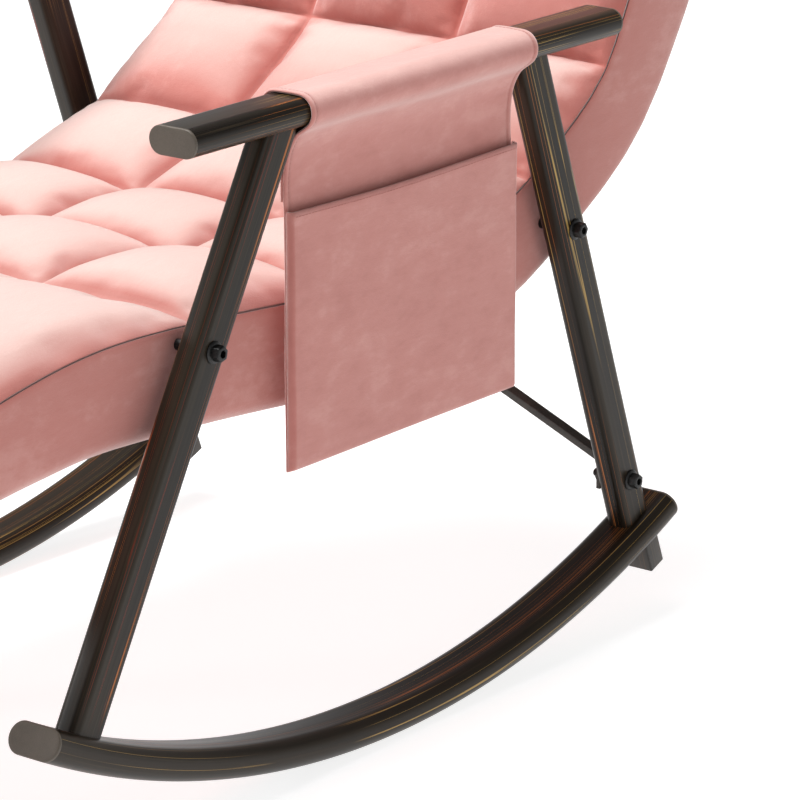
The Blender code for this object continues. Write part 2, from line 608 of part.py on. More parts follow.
# stand the chair on the floor with the middle of its box at x = 0, y = 0
corners = np.array([v.co for o in bpy.data.objects for v in o.data.vertices])
low, high = corners.min(axis=0), corners.max(axis=0)
for o in bpy.data.objects:
    for v in o.data.vertices:
        v.co.y -= (low[1] + high[1]) / 2
        v.co.z -= low[2]
bpy.context.view_layer.update()
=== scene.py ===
# %% [markdown]
# # A rocking nursery chair
# The chair has two side frames of flat steel tube, one long tufted cushion that is seat and
# back at once, and a fabric pocket that hangs over the right armrest.  This lesson dresses a
# finished measured frame: every piece below sits where the frame says, in metres, with +Z up
# and the sitter facing -Y.

# %% Load the measured frame
import math

import bmesh
import bpy
import numpy as np
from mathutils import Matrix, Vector


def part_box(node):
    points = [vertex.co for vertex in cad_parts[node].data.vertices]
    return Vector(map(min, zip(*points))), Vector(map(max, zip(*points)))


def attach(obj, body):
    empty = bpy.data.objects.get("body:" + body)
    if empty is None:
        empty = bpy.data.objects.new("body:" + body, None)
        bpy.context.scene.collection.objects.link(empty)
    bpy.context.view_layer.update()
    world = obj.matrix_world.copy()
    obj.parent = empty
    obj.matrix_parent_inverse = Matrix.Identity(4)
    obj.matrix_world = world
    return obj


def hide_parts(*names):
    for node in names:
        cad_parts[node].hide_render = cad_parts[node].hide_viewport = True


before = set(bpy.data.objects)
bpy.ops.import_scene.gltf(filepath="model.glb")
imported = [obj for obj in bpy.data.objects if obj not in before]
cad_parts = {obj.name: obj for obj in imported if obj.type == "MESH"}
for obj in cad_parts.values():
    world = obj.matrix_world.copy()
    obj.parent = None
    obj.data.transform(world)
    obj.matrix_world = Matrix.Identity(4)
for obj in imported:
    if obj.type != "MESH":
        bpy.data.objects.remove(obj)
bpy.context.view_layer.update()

# %% [markdown]
# ## The sizes that drive the pieces
# The side frames were drawn with the lowest point of the rocker at y = 0 and then moved so
# that the whole chair is centred.  The same numbers are kept here, and the move is read back
# from the frame itself, so that a piece can't drift away from its solid.

# %% Driving sizes
ARM_HEIGHT, ARM_W, ARM_T = 0.590, 0.0502, 0.0250
ARM_FRONT, ARM_REAR = -0.2852, 0.3150
SEAT_HALF, SIDE_GAP = 0.262, 0.0143
LEG_W, LEG_T, LEG_R = 0.0260, 0.0380, 0.0080
FRAME_HALF = SEAT_HALF + SIDE_GAP + LEG_W / 2
ROCK_W, ROCK_T, ROCK_RADIUS = 0.0546, 0.0288, 1.0040
ROCK_FRONT, ROCK_REAR = -0.4646, 0.4122
FOOT_LEVEL = 0.100
LEG_FRONT_TOP, LEG_FRONT_FOOT = -0.1490, -0.4255
LEG_REAR_TOP, LEG_REAR_FOOT = 0.1942, 0.3707
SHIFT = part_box("armrest_right")[0].y - (ARM_FRONT + 0.003)
SIDES = (("right", 1.0), ("left", -1.0))
print("moved back by", round(SHIFT, 4))

# %% [markdown]
# ## The camera
# A long lens from four metres away keeps the two side frames nearly parallel.  The camera
# stands in front and to the right, a little above the armrest.

# %% Camera
camera = bpy.data.objects.new("camera", bpy.data.cameras.new("camera"))
camera.data.lens, camera.data.sensor_width = 197.6, 36.0
camera.location = (2.53986, -2.90243 + SHIFT, 1.42087)
camera.rotation_euler = (math.radians(90.0 - 16.91), 0.0, math.radians(37.64))
bpy.context.scene.collection.objects.link(camera)
bpy.context.scene.camera = camera
print("camera distance", round(camera.location.length, 3))

# %% [markdown]
# ## Putting a surface into a mesh
# Most pieces are an outline carried along a path: row i, point j of a grid of positions.
# Whole arrays are worked out at once and handed to the mesh in one go.  Every point also
# keeps a `grain` attribute: how far along the piece it is, and where in the outline.  The
# streaks of the finish follow that attribute, so they run along a bent tube as they should.

# %% Mesh helpers
def ring_faces(rows, points):
    """Quads between neighbouring rows of closed rings: (i, j), (i, j+1), (i+1, j+1), (i+1, j)."""
    i, j = np.meshgrid(np.arange(rows - 1), np.arange(points), indexing="ij")
    k = (j + 1) % points
    low, high = i * points, (i + 1) * points
    return np.stack([low + j, low + k, high + k, high + j], -1).reshape(-1, 4)


def panel_faces(rows, cols):
    """Quads of an open grid: (i, j), (i, j+1), (i+1, j+1), (i+1, j)."""
    i, j = np.meshgrid(np.arange(rows - 1), np.arange(cols - 1), indexing="ij")
    a = i * cols + j
    return np.stack([a, a + 1, a + cols + 1, a + cols], -1).reshape(-1, 4)


def outward(me):
    """Turns the mesh the right way round when its signed volume is below zero."""
    me.calc_loop_triangles()
    co = np.empty(len(me.vertices) * 3)
    me.vertices.foreach_get("co", co)
    tri = np.empty(len(me.loop_triangles) * 3, np.int32)
    me.loop_triangles.foreach_get("vertices", tri)
    a, b, c = co.reshape(-1, 3)[tri.reshape(-1, 3)].transpose(1, 0, 2)
    if np.einsum("ij,ij->i", a, np.cross(b, c)).sum() < 0:
        me.flip_normals()


def piece(name, verts, faces, material, grain=None, sharp=40.0):
    """One mesh object at the origin with smooth shading that breaks at sharp corners."""
    me = bpy.data.meshes.new(name)
    me.from_pydata(np.asarray(verts, float).tolist(), [], [list(map(int, f)) for f in faces])
    me.materials.append(material)
    if grain is not None:
        me.attributes.new("grain", "FLOAT_VECTOR", "POINT").data.foreach_set(
            "vector", np.asarray(grain, np.float32).ravel())
    outward(me)
    me.shade_smooth()
    me.set_sharp_from_angle(angle=math.radians(sharp))
    ob = bpy.data.objects.new(name, me)
    bpy.context.scene.collection.objects.link(ob)
    return ob


def skin(name, grid, material, grain=None, sharp=40.0, loop=False):
    """A closed skin over a grid of rings; flat ends, or a loop of rings joined end to start."""
    rows, points = grid.shape[:2]
    faces = ring_faces(rows + 1, points) % (rows * points) if loop else ring_faces(rows, points)
    faces = faces.tolist()
    if not loop:
        faces += [list(range(points - 1, -1, -1)), list(range((rows - 1) * points, rows * points))]
    return piece(name, grid.reshape(-1, 3), faces, material,
                 None if grain is None else grain.reshape(-1, 3), sharp)


def fit(ob, slot, *nodes):
    """The piece rides on the chair's one body and stands for the named solids."""
    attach(ob, "root")
    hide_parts(*nodes)
    return ob


def flat_oval(w, t, r, per_corner=14):
    """Outline of a bar w wide and t thick with corner radius r: quarter arcs about four centres."""
    r = min(r, w / 2 - 1e-6, t / 2 - 1e-6)
    a = (np.arange(4)[:, None] + np.linspace(0, 1, per_corner)[None]) * (math.pi / 2)
    su = np.array([1, -1, -1, 1])[:, None] * (w / 2 - r)
    sv = np.array([1, 1, -1, -1])[:, None] * (t / 2 - r)
    return np.stack([su + r * np.cos(a), sv + r * np.sin(a)], -1).reshape(-1, 2)


def carry(outline, x, yz, up, along):
    """Ring i, point j = (x + u_j, y_i + v_j up_y, z_i + v_j up_z); grain = (distance, u, v)."""
    u, v = outline[None, :, 0], outline[None, :, 1]
    yz, up, along = np.asarray(yz, float), np.asarray(up, float), np.asarray(along, float)
    ones = np.ones((len(yz), len(outline)))
    grid = np.stack([x + u * ones, yz[:, :1] + SHIFT + v * up[:, :1], yz[:, 1:] + v * up[:, 1:]], -1)
    grain = np.stack([along[:, None] * ones, u * ones, v * ones], -1)
    return grid, grain


print("a ring of", len(flat_oval(ARM_W, ARM_T, ARM_T / 2)), "points")

# %% Marks and smooth lines
def mark(me, name, values, domain="POINT"):
    """One number for each point, or edge, under a name that finishes and modifiers read."""
    layer = me.attributes.new(name, "FLOAT", domain)
    layer.data.foreach_set("value", np.asarray(values, np.float32).ravel())


def run_of(p):
    """Distance run along a row of points, from 0."""
    return np.concatenate([[0.0], np.cumsum(np.linalg.norm(np.diff(p, axis=0), axis=1))])


def through(p, count):
    """Even distances, and the points there on the cubic that goes through the points p."""
    p = np.array(p)
    t = run_of(p)
    m = np.gradient(p, t, axis=0)
    s = np.linspace(0.0, t[-1], count)
    i = np.clip(np.searchsorted(t, s) - 1, 0, len(t) - 2)
    h = (t[i + 1] - t[i])[:, None]
    u = (s - t[i])[:, None] / h
    return s, ((2 * u**3 - 3 * u**2 + 1) * p[i] + (u**3 - 2 * u**2 + u) * h * m[i]
               + (-2 * u**3 + 3 * u**2) * p[i + 1] + (u**3 - u**2) * h * m[i + 1])


print("a straight line of five:", through([(0, 0), (1, 0)], 5)[0])

# %% [markdown]
# ## Finishes
# Effects that several materials share are node groups with named sockets.  The first gives a
# pattern its place: object coordinates for mottling.  The steel tubes wear a dark wood-look
# film: nearly black brown, with long hairlines in gold, copper and dull red along the tube.

# %% Node helpers
def socket_group(name, inputs, outputs):
    """A new node group, what it is given, and what it puts out; rows are (kind, name, value)."""
    group = bpy.data.node_groups.new(name, "ShaderNodeTree")
    for way, rows in (("INPUT", inputs), ("OUTPUT", outputs)):
        for kind, label, value in rows:
            s = group.interface.new_socket(label, in_out=way, socket_type="NodeSocket" + kind)
            if value is not None:
                s.default_value = value
    given = group.nodes.new("NodeGroupInput").outputs
    return group, given, group.nodes.new("NodeGroupOutput").inputs


def node(tree, kind, values=(), **facts):
    """Adds a node, sets its facts, and fills inputs: a socket is linked, a number is set."""
    n = tree.nodes.new("ShaderNode" + kind)
    for k, v in facts.items():
        setattr(n, k, v)
    for key, v in dict(values).items():
        if isinstance(v, bpy.types.NodeSocket):
            tree.links.new(v, n.inputs[key])
        else:
            n.inputs[key].default_value = v
    return n


def maths(tree, what, *values):
    """One sum of up to three values, each a socket or a number."""
    return node(tree, "Math", dict(enumerate(values)), operation=what).outputs[0]


def ramp(tree, value, low, high, out_low=0.0, out_high=1.0):
    """Smooth step from out_low at low to out_high at high."""
    n = node(tree, "MapRange", {0: value, 1: low, 2: high, 3: out_low, 4: out_high},
             interpolation_type="SMOOTHSTEP")
    return n.outputs[0]


def blend(tree, factor, a, b):
    """Colour a where factor is 0, b where it is 1."""
    n = node(tree, "Mix", {0: factor, 6: a, 7: b}, data_type="RGBA")
    return n.outputs[2]


def noise(tree, place, scale, detail=3.0, rough=0.5):
    return node(tree, "TexNoise", {"Vector": place, "Scale": scale, "Detail": detail,
                                   "Roughness": rough}).outputs["Fac"]


def stretch(tree, place, scale, shift=(0, 0, 0)):
    return node(tree, "Mapping", {"Vector": place, "Scale": scale, "Location": shift}).outputs[0]


def finish(name, group=None, grain=False, values=(), colour=(0.5, 0.5, 0.5), **shader):
    """A material on one Principled shader; a group may feed its colour, roughness and bump."""
    m = bpy.data.materials.new(name)
    m.use_nodes = True
    t = m.node_tree
    b = t.nodes["Principled BSDF"]
    b.inputs["Base Color"].default_value = (*colour, 1)
    for k, v in shader.items():
        b.inputs[k.replace("_", " ")].default_value = v
    if group:
        if grain:
            place = node(t, "Attribute", attribute_name="grain").outputs["Vector"]
        else:
            place = node(t, "TexCoord").outputs["Object"]
        g = t.nodes.new("ShaderNodeGroup")
        g.node_tree = group
        t.links.new(place, g.inputs["Place"])
        for k, v in dict(values).items():
            g.inputs[k].default_value = v
        t.links.new(g.outputs["Colour"], b.inputs["Base Color"])
        t.links.new(g.outputs["Roughness"], b.inputs["Roughness"])
        bump = node(t, "Bump", {"Strength": 1.0, "Distance": 1.0, "Height": g.outputs["Height"]})
        t.links.new(bump.outputs[0], b.inputs["Normal"])
    return m


# %% Wood-look film
film, given, result = socket_group(
    "wood_look_film",
    [("Vector", "Place", None), ("Color", "Dark", (0.0080, 0.0058, 0.0038, 1)),
     ("Color", "Light", (0.026, 0.019, 0.012, 1)), ("Float", "Hairlines", 1.0)],
    [("Color", "Colour", None), ("Float", "Roughness", None), ("Float", "Height", None)])
place = given["Place"]
broad = noise(film, stretch(film, place, (1.6, 60, 60)), 1.0, 4.0, 0.6)
fine = noise(film, stretch(film, place, (5.0, 420, 420), (3, 1, 2)), 1.0, 2.0, 0.5)
streak = noise(film, stretch(film, place, (0.6, 120, 120), (7, 3, 5)), 1.0, 1.0, 0.35)
second = noise(film, stretch(film, place, (0.5, 150, 150), (1, 9, 4)), 1.0, 1.0, 0.35)
patch = noise(film, stretch(film, place, (4.5, 30, 30), (2, 6, 8)), 1.0, 1.0)
hue = noise(film, stretch(film, place, (0.9, 45, 45), (9, 2, 1)), 1.0, 0.0)
near_a = maths(film, "ABSOLUTE", maths(film, "SUBTRACT", streak, 0.5))
near_b = maths(film, "ABSOLUTE", maths(film, "SUBTRACT", second, 0.56))
line = maths(film, "MAXIMUM", ramp(film, near_a, 0.003, 0.0105, 1.0, 0.0),
             ramp(film, near_b, 0.002, 0.0080, 0.85, 0.0))
line = maths(film, "MULTIPLY", line, ramp(film, patch, 0.34, 0.50))
line = maths(film, "MULTIPLY", line, given["Hairlines"])
body = blend(film, ramp(film, broad, 0.35, 0.68), given["Dark"], given["Light"])
body = blend(film, ramp(film, fine, 0.55, 0.80, 0.0, 0.35), body, (0.060, 0.044, 0.026, 1))
gold = blend(film, ramp(film, hue, 0.42, 0.52), (0.42, 0.135, 0.03, 1), (0.46, 0.29, 0.085, 1))
gold = blend(film, ramp(film, hue, 0.36, 0.30), gold, (0.22, 0.030, 0.014, 1))
film.links.new(blend(film, line, body, gold), result["Colour"])
film.links.new(ramp(film, broad, 0.3, 0.7, 0.27, 0.38), result["Roughness"])
film.links.new(maths(film, "MULTIPLY", fine, 0.00004), result["Height"])

frame_finish = finish("frame_finish", film, True, Specular_IOR_Level=0.22)
block_finish = finish("block_finish", film, True,
                      {"Dark": (0.012, 0.009, 0.006, 1), "Light": (0.030, 0.022, 0.015, 1),
                       "Hairlines": 0.15})
print("film nodes", len(film.nodes))

# %% [markdown]
# Moulded end caps, black bolts and the inner steel share one speckled group: a tone that
# drifts slowly, a fine grain, and a roughness that follows it.

# %% Moulded and plated finishes
speck, given, result = socket_group(
    "fine_speckle",
    [("Vector", "Place", None), ("Color", "Dark", (0.1, 0.1, 0.1, 1)),
     ("Color", "Light", (0.2, 0.2, 0.2, 1)), ("Float", "Rough", 0.5), ("Float", "Grain", 2200.0),
     ("Float", "Depth", 0.00003)],
    [("Color", "Colour", None), ("Float", "Roughness", None), ("Float", "Height", None)])
place = given["Place"]
drift = noise(speck, place, 38.0, 4.0, 0.6)
grain_n = noise(speck, place, given["Grain"], 2.0)
both = maths(speck, "ADD", drift, grain_n)
speck.links.new(blend(speck, ramp(speck, both, 0.75, 1.25), given["Dark"], given["Light"]),
                result["Colour"])
rough = maths(speck, "MULTIPLY", ramp(speck, drift, 0.3, 0.7, 0.85, 1.15), given["Rough"])
speck.links.new(rough, result["Roughness"])
speck.links.new(maths(speck, "MULTIPLY", grain_n, given["Depth"]), result["Height"])

cap_finish = finish("cap_finish", speck, values={
    "Dark": (0.080, 0.066, 0.052, 1), "Light": (0.112, 0.093, 0.074, 1), "Rough": 0.45},
    Specular_IOR_Level=0.3)
black_finish = finish("black_finish", speck, values={
    "Dark": (0.006, 0.006, 0.006, 1), "Light": (0.020, 0.020, 0.020, 1), "Rough": 0.36,
    "Grain": 900.0}, Metallic=0.5)
stay_finish = finish("stay_finish", speck, values={
    "Dark": (0.022, 0.020, 0.017, 1), "Light": (0.050, 0.045, 0.038, 1), "Rough": 0.38,
    "Grain": 1200.0}, Metallic=0.2)
steel_finish = finish("steel_finish", speck, values={
    "Dark": (0.03, 0.03, 0.03, 1), "Light": (0.07, 0.07, 0.07, 1), "Rough": 0.5}, Metallic=0.4)
lining_finish = finish("lining_finish", speck, values={
    "Dark": (0.03, 0.03, 0.03, 1), "Light": (0.06, 0.06, 0.06, 1), "Rough": 0.95,
    "Grain": 700.0, "Depth": 0.0002})
print("moulded finishes ready")

# %% [markdown]
# Velvet is short pile on a woven back.  Three things show: a pale bloom where it is seen
# edge-on, which the sheen of the shader gives; soft mottling where the pile leans different
# ways; and painted shade, a deeper, warmer colour laid into the sewn valleys.  One point
# attribute says how close a point is to a sewn line and sets that painted shade; another says
# how far its face is turned up and sets a painted highlight, a paler colour on up-turned faces.

# %% Velvet
pile, given, result = socket_group(
    "velvet_pile",
    [("Vector", "Place", None), ("Float", "Painted_Shade", 0.0), ("Float", "Seam", 0.0), ("Float", "Painted_Highlight", 0.0),
     ("Color", "Body", (0.70, 0.31, 0.27, 1)),
     ("Color", "Bloom", (0.84, 0.47, 0.42, 1)), ("Color", "Deep", (0.50, 0.13, 0.105, 1)),
     ("Color", "Highlight_Colour", (0.70, 0.55, 0.50, 1)), ("Float", "Mottle", 0.5)],
    [("Color", "Colour", None), ("Float", "Roughness", None), ("Float", "Height", None)])
place = given["Place"]
cloud = noise(pile, place, 16.0, 5.0, 0.62)
brush = noise(pile, stretch(pile, place, (70, 30, 70), (4, 1, 7)), 1.0, 4.0, 0.65)
tips = noise(pile, place, 900.0, 2.0, 0.6)
lean = maths(pile, "ADD", cloud, brush)
light_up = maths(pile, "MULTIPLY", ramp(pile, lean, 0.98, 1.28), given["Mottle"])
dark_up = maths(pile, "MULTIPLY", ramp(pile, lean, 1.0, 0.72), given["Mottle"])
dark_up = maths(pile, "MULTIPLY", dark_up, 0.45)
tone = blend(pile, light_up, given["Body"], given["Bloom"])
tone = blend(pile, dark_up, tone, given["Deep"])
# painted highlight: faces turned up are blended towards a pale colour that stands in for the overhead
# light
tone = blend(pile, given["Painted_Highlight"], tone, given["Highlight_Colour"])
tone = blend(pile, ramp(pile, tips, 0.35, 0.7, 0.10, 0.0), tone, given["Deep"])
# painted shade: near sewn lines the colour is blended towards the deep tone
painted_shade = maths(pile, "MULTIPLY", given["Painted_Shade"], 0.75)
tone = blend(pile, painted_shade, tone, given["Deep"])
pile.links.new(blend(pile, given["Seam"], tone, (0.085, 0.020, 0.016, 1)), result["Colour"])
pile.links.new(ramp(pile, lean, 0.7, 1.3, 0.92, 0.80), result["Roughness"])
height = maths(pile, "MULTIPLY", tips, 0.00018)
height = maths(pile, "MULTIPLY_ADD", brush, 0.0007, height)
height = maths(pile, "MULTIPLY_ADD", given["Seam"], -0.0015, height)
pile.links.new(height, result["Height"])


def velvet(name, values=(), sewn_round=False, **shader):
    """Velvet: painted shade near sewn lines and a painted highlight on up-turned faces come from
    attributes; the seam from `seam_reach`.
    """
    m = finish(name, pile, values=values, **shader)
    t = m.node_tree
    g = next(n for n in t.nodes if n.type == "GROUP")
    # painted shade near sewn lines, read from the mesh
    f = node(t, "Attribute", attribute_name="painted_shade").outputs["Fac"]
    t.links.new(f, g.inputs["Painted_Shade"])
    # painted highlight on up-turned faces, read from the mesh
    painted_highlight = node(t, "Attribute", attribute_name="painted_highlight").outputs["Fac"]
    t.links.new(painted_highlight, g.inputs["Painted_Highlight"])
    reach = node(t, "Attribute", attribute_name="seam_reach").outputs["Fac"]
    if sewn_round:
        t.links.new(ramp(t, reach, 0.0002, 0.0007, 1.0, 0.0), g.inputs["Seam"])
    return m


# the deep colour serves both the random mottling and the painted shade near sewn lines
cushion_velvet = velvet("cushion_velvet", {
    "Body": (0.49, 0.185, 0.158, 1), "Bloom": (0.66, 0.36, 0.32, 1), "Deep": (0.42, 0.105, 0.083, 1),
    "Mottle": 0.28}, True, Sheen_Weight=0.75, Sheen_Roughness=0.50,
    Sheen_Tint=(1.0, 0.97, 0.95, 1), Specular_IOR_Level=0.12)
pocket_velvet = velvet("pocket_velvet", {
    "Body": (0.53, 0.215, 0.188, 1), "Bloom": (0.63, 0.31, 0.275, 1), "Deep": (0.36, 0.110, 0.092, 1),
    "Mottle": 0.5}, Sheen_Weight=0.8, Sheen_Roughness=0.50, Sheen_Tint=(1.0, 0.93, 0.90, 1),
    Specular_IOR_Level=0.12)
thread = finish("thread", speck, values={
    "Dark": (0.36, 0.12, 0.10, 1), "Light": (0.52, 0.22, 0.19, 1), "Rough": 0.8, "Grain": 3000.0})
print("velvet nodes", len(pile.nodes))

# %% [markdown]
# ## Armrests
# A straight flat oval tube, 50 by 25 mm, with a moulded plug in each end.  The outline is
# carried along y; the plug repeats it and rounds its rim so that the edge catches the light.

# %% Armrests and their caps
def cap(name, x, yz, heading, w, t, node_name):
    """Outline shrunk by an amount that follows a quarter circle as it leaves the tube end."""
    a = np.linspace(0, math.pi / 2, 7)
    r = 0.0013
    out = np.concatenate([[-0.012, -0.0003, 0.0002, 0.0002], 0.0030 - r + r * np.sin(a), [0.0028]])
    shrink = np.concatenate([[0.0030, 0.0030, 0.0012, 0.0], r * (1 - np.cos(a)), [0.0042]])
    lift = (-heading[1], heading[0])
    rings = [carry(flat_oval(w - 2 * s, t - 2 * s, t / 2 - s), x,
                   [(yz[0] + heading[0] * d, yz[1] + heading[1] * d)], [lift], [d])[0][0]
             for d, s in zip(out, shrink)]
    return fit(skin(name, np.array(rings), cap_finish, sharp=50), "end_cap", node_name)


for tag, side in SIDES:
    ends = [(ARM_FRONT + 0.003, ARM_HEIGHT), (ARM_REAR - 0.003, ARM_HEIGHT)]
    along = np.linspace(0, 1, 12)
    yz = np.array(ends[0]) + along[:, None] * (np.array(ends[1]) - np.array(ends[0]))
    grid, grain = carry(flat_oval(ARM_W, ARM_T, ARM_T / 2), side * FRAME_HALF, yz,
                        [(0, 1)] * 12, along * 0.61 + side * 3.1)
    fit(skin("armrest_tube_" + tag, grid, frame_finish, grain), "frame_finish", "armrest_" + tag)
    cap("armrest_plug_front_" + tag, side * FRAME_HALF, ends[0], (-1.0, 0.0), ARM_W, ARM_T,
        "armrest_front_cap_" + tag)
    cap("armrest_plug_rear_" + tag, side * FRAME_HALF, ends[1], (1.0, 0.0), ARM_W, ARM_T,
        "armrest_rear_cap_" + tag)

# %% [markdown]
# ## Rockers
# A wider flat oval tube bent to a metre radius.  Its centre line is one arc of a circle that
# comes down to the floor under the armrests, so the tube has no kinks.

# %% Rocker line
def rocker_line(count=160):
    """Centre points (R sin t, R (1 - cos t)) and unit normals (-sin t, cos t)."""
    t = np.linspace(math.asin(ROCK_FRONT / ROCK_RADIUS), math.asin(ROCK_REAR / ROCK_RADIUS), count)
    p = np.stack([ROCK_RADIUS * np.sin(t), ROCK_RADIUS * (1 - np.cos(t)) + ROCK_T / 2], 1)
    return p, np.stack([-np.sin(t), np.cos(t)], 1)


ROCK_P, ROCK_N = rocker_line()
ROCK_S = run_of(ROCK_P)
for tag, side in SIDES:
    grid, grain = carry(flat_oval(ROCK_W, ROCK_T, ROCK_T / 2), side * FRAME_HALF, ROCK_P, ROCK_N,
                        ROCK_S + side * 5.3)
    fit(skin("rocker_tube_" + tag, grid, frame_finish, grain), "frame_finish", "rocker_" + tag)
    for end, i, way in (("front", 0, -1.0), ("rear", -1, 1.0)):
        heading = (way * ROCK_N[i, 1], -way * ROCK_N[i, 0])
        cap(f"rocker_plug_{end}_{tag}", side * FRAME_HALF, ROCK_P[i], heading, ROCK_W, ROCK_T,
            f"rocker_{end}_cap_{tag}")
print("rocker tube length", round(float(ROCK_S[-1]), 4))

# %% [markdown]
# ## Legs
# Each leg is a rounded bar that leans.  Its foot is cut to the rocker's curve and its top is
# cut to the round underside of the armrest.  Both cuts slide every point of the outline along
# the leg until it meets the other tube.

# %% Legs
def leg(name, x, top, foot, node_name, offset):
    """Outline slid along the leaning line to the arm above and to the rocker below."""
    slope = (foot - top) / (ARM_HEIGHT - FOOT_LEVEL)
    d = np.array([-slope, 1.0]) / math.hypot(slope, 1.0)
    lift = np.array([-d[1], d[0]])
    o = flat_oval(LEG_W, LEG_T, LEG_R)
    u, v = o[:, 0], o[:, 1]
    r, flat = ARM_T / 2, (ARM_W - ARM_T) / 2
    past = np.clip(np.abs(u) - flat, 0, None)
    high = ARM_HEIGHT - np.sqrt(np.clip(r**2 - past**2, 0, None)) + 0.0004
    def y_at(z):
        return top + slope * (ARM_HEIGHT - z) + v * (lift[0] - lift[1] * d[0] / d[1])
    rt = ROCK_P + ROCK_N * (ROCK_T / 2 - 0.0004)
    rt = rt[np.argsort(rt[:, 0])]
    low = np.full_like(u, 0.09)
    for _ in range(30):
        low = np.interp(y_at(low), rt[:, 0], rt[:, 1])
    share = np.linspace(0, 1, 10)[:, None]
    z = low[None] + share * (high - low)[None]
    grid = np.stack([x + u[None] + 0 * z, y_at(z) + SHIFT, z], -1)
    grain = np.stack([z * math.hypot(slope, 1) + offset, u[None] + 0 * z, v[None] + 0 * z], -1)
    return fit(skin(name, grid, frame_finish, grain), "frame_finish", node_name)


for tag, side in SIDES:
    leg("front_leg_bar_" + tag, side * FRAME_HALF, LEG_FRONT_TOP, LEG_FRONT_FOOT, "front_leg_" + tag,
        side * 11.0)
    leg("rear_leg_bar_" + tag, side * FRAME_HALF, LEG_REAR_TOP, LEG_REAR_FOOT, "rear_leg_" + tag,
        side * 17.0)

# %% [markdown]
# ## Stop blocks and stays
# A block under the tail of each rocker keeps the chair from tipping too far back, and two
# thin square bars run from the rear legs up to the seat.  Both are boxes with eased edges;
# the rounded outline is carried a short way along each one's own axis.

# %% Bars with eased edges
def eased_bar(name, start, end, a_axis, b_axis, w, t, r, material, slot, node_name,
              square=None, soften=None):
    """Rounded outline on two axes carried from start to end; `square` cuts both ends on a plane."""
    start, end = np.array(start, float), np.array(end, float)
    d = (end - start) / np.linalg.norm(end - start)
    soften = r if soften is None else soften
    run = np.linalg.norm(end - start)
    a = np.linspace(0, math.pi / 2, 5)
    dist = np.concatenate([soften * (1 - np.cos(a[::1])), run - soften * (1 - np.cos(a[::-1]))])
    inset = np.concatenate([soften * (1 - np.sin(a)), soften * (1 - np.sin(a[::-1]))])
    rings, grain = [], []
    for s, i in zip(dist, inset):
        o = flat_oval(w - 2 * i, t - 2 * i, max(r - i, 0.0002), 6)
        p = start + d * s + o[:, :1] * a_axis + o[:, 1:] * b_axis
        if square is not None:
            p = p + d * (((start + d * s - p) @ square) / (d @ square))[:, None]
        rings.append(p)
        grain.append(np.stack([np.full(len(o), s), o[:, 0], o[:, 1]], 1))
    return fit(skin(name, np.array(rings), material, np.array(grain)), slot, node_name)


STAY_DIR = np.array([-1.0, -0.1954, 0.5494])
side_axis = np.array([0.0, 1.0, 0.3603]) / math.hypot(1.0, 0.3603)
unit = STAY_DIR / np.linalg.norm(STAY_DIR)
side_axis -= unit * side_axis.dot(unit)
side_axis /= np.linalg.norm(side_axis)
for tag, side in SIDES:
    lo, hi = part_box("diagonal_stay_" + tag)
    flip = np.array([side, 1.0, 1.0])
    a_axis, b_axis = side_axis * flip, np.cross(unit, side_axis) * flip
    half = 0.5 * (abs(a_axis) + abs(b_axis)) * 0.0095
    slide = abs(unit) * (half[0] / abs(unit[0]))
    pad_y, pad_z = half[1] + slide[1], half[2] + slide[2]
    start = np.array([hi.x if side > 0 else lo.x, hi.y - pad_y, lo.z + pad_z])
    run = (hi.x - lo.x)
    end = start + STAY_DIR * flip * run
    eased_bar("stay_bar_" + tag, start, end, a_axis, b_axis, 0.0095, 0.0095, 0.0013, stay_finish,
              "stay_finish", "diagonal_stay_" + tag, square=np.array([1.0, 0, 0]), soften=0.0004)
print("stay run", round(run, 4))

# %% Stop blocks
BLOCK_RUN, BLOCK_DROP, BLOCK_W = 0.0212, 0.0362, 0.0276


def on_arc(y):
    """Centre of the rocker tube at y: R - sqrt(R^2 - y^2) above its lowest point."""
    return np.array([y, ROCK_RADIUS - math.sqrt(ROCK_RADIUS**2 - y**2) + ROCK_T / 2])


for tag, side in SIDES:
    q, p = on_arc(LEG_REAR_FOOT + 0.030), on_arc(LEG_REAR_FOOT - 0.040)
    t = (q - p) / np.linalg.norm(q - p)
    n = np.array([t[1], -t[0]])
    base = q - t * 0.0070 + n * (ROCK_T / 2 - 0.0004)
    mid = base - t * BLOCK_RUN / 2
    a_axis, d3 = np.array([0, t[0], t[1]]), np.array([0, n[0], n[1]])
    start = np.array([side * FRAME_HALF, mid[0] + SHIFT, mid[1]])
    eased_bar("tail_block_" + tag, start, start + d3 * (BLOCK_DROP + 0.0007),
              np.array([1.0, 0, 0]), a_axis, BLOCK_W, BLOCK_RUN, 0.0016, block_finish,
              "stop_block", "stop_block_" + tag, soften=0.0012)

# %% [markdown]
# ## Bolts
# Black flanged bolts with a hexagon head and a hexagon socket.  A turned part is a profile of
# distances and radii swept round an axis; for the hexagon rows the radius is divided by the
# cosine of the angle to the nearest flat, with its corners slightly blunted.

# %% Flanged bolts, nuts and spacers
def turned(name, x0, side, yz, rows, material, slot, node_name, loop=False, spin=0.0, count=72):
    """Ring i: radius r_i, or r_i / cos(angle to the nearest flat) on hexagon rows."""
    a = np.linspace(0, 2 * math.pi, count, endpoint=False)
    flat = (a + spin + math.pi / 6) % (math.pi / 3) - math.pi / 6
    rows = np.array(rows, float)
    hexed = np.minimum(1 / np.cos(flat), 1.125)[None]
    rr = rows[:, 1:2] * np.where(rows[:, 2:3] > 0, hexed, 1.0)
    x = x0 + side * rows[:, :1] + 0 * rr
    grid = np.stack([x, yz[0] + rr * np.sin(a), yz[1] + rr * np.cos(a)], -1)
    return fit(skin(name, grid, material, sharp=28, loop=loop), slot, node_name)


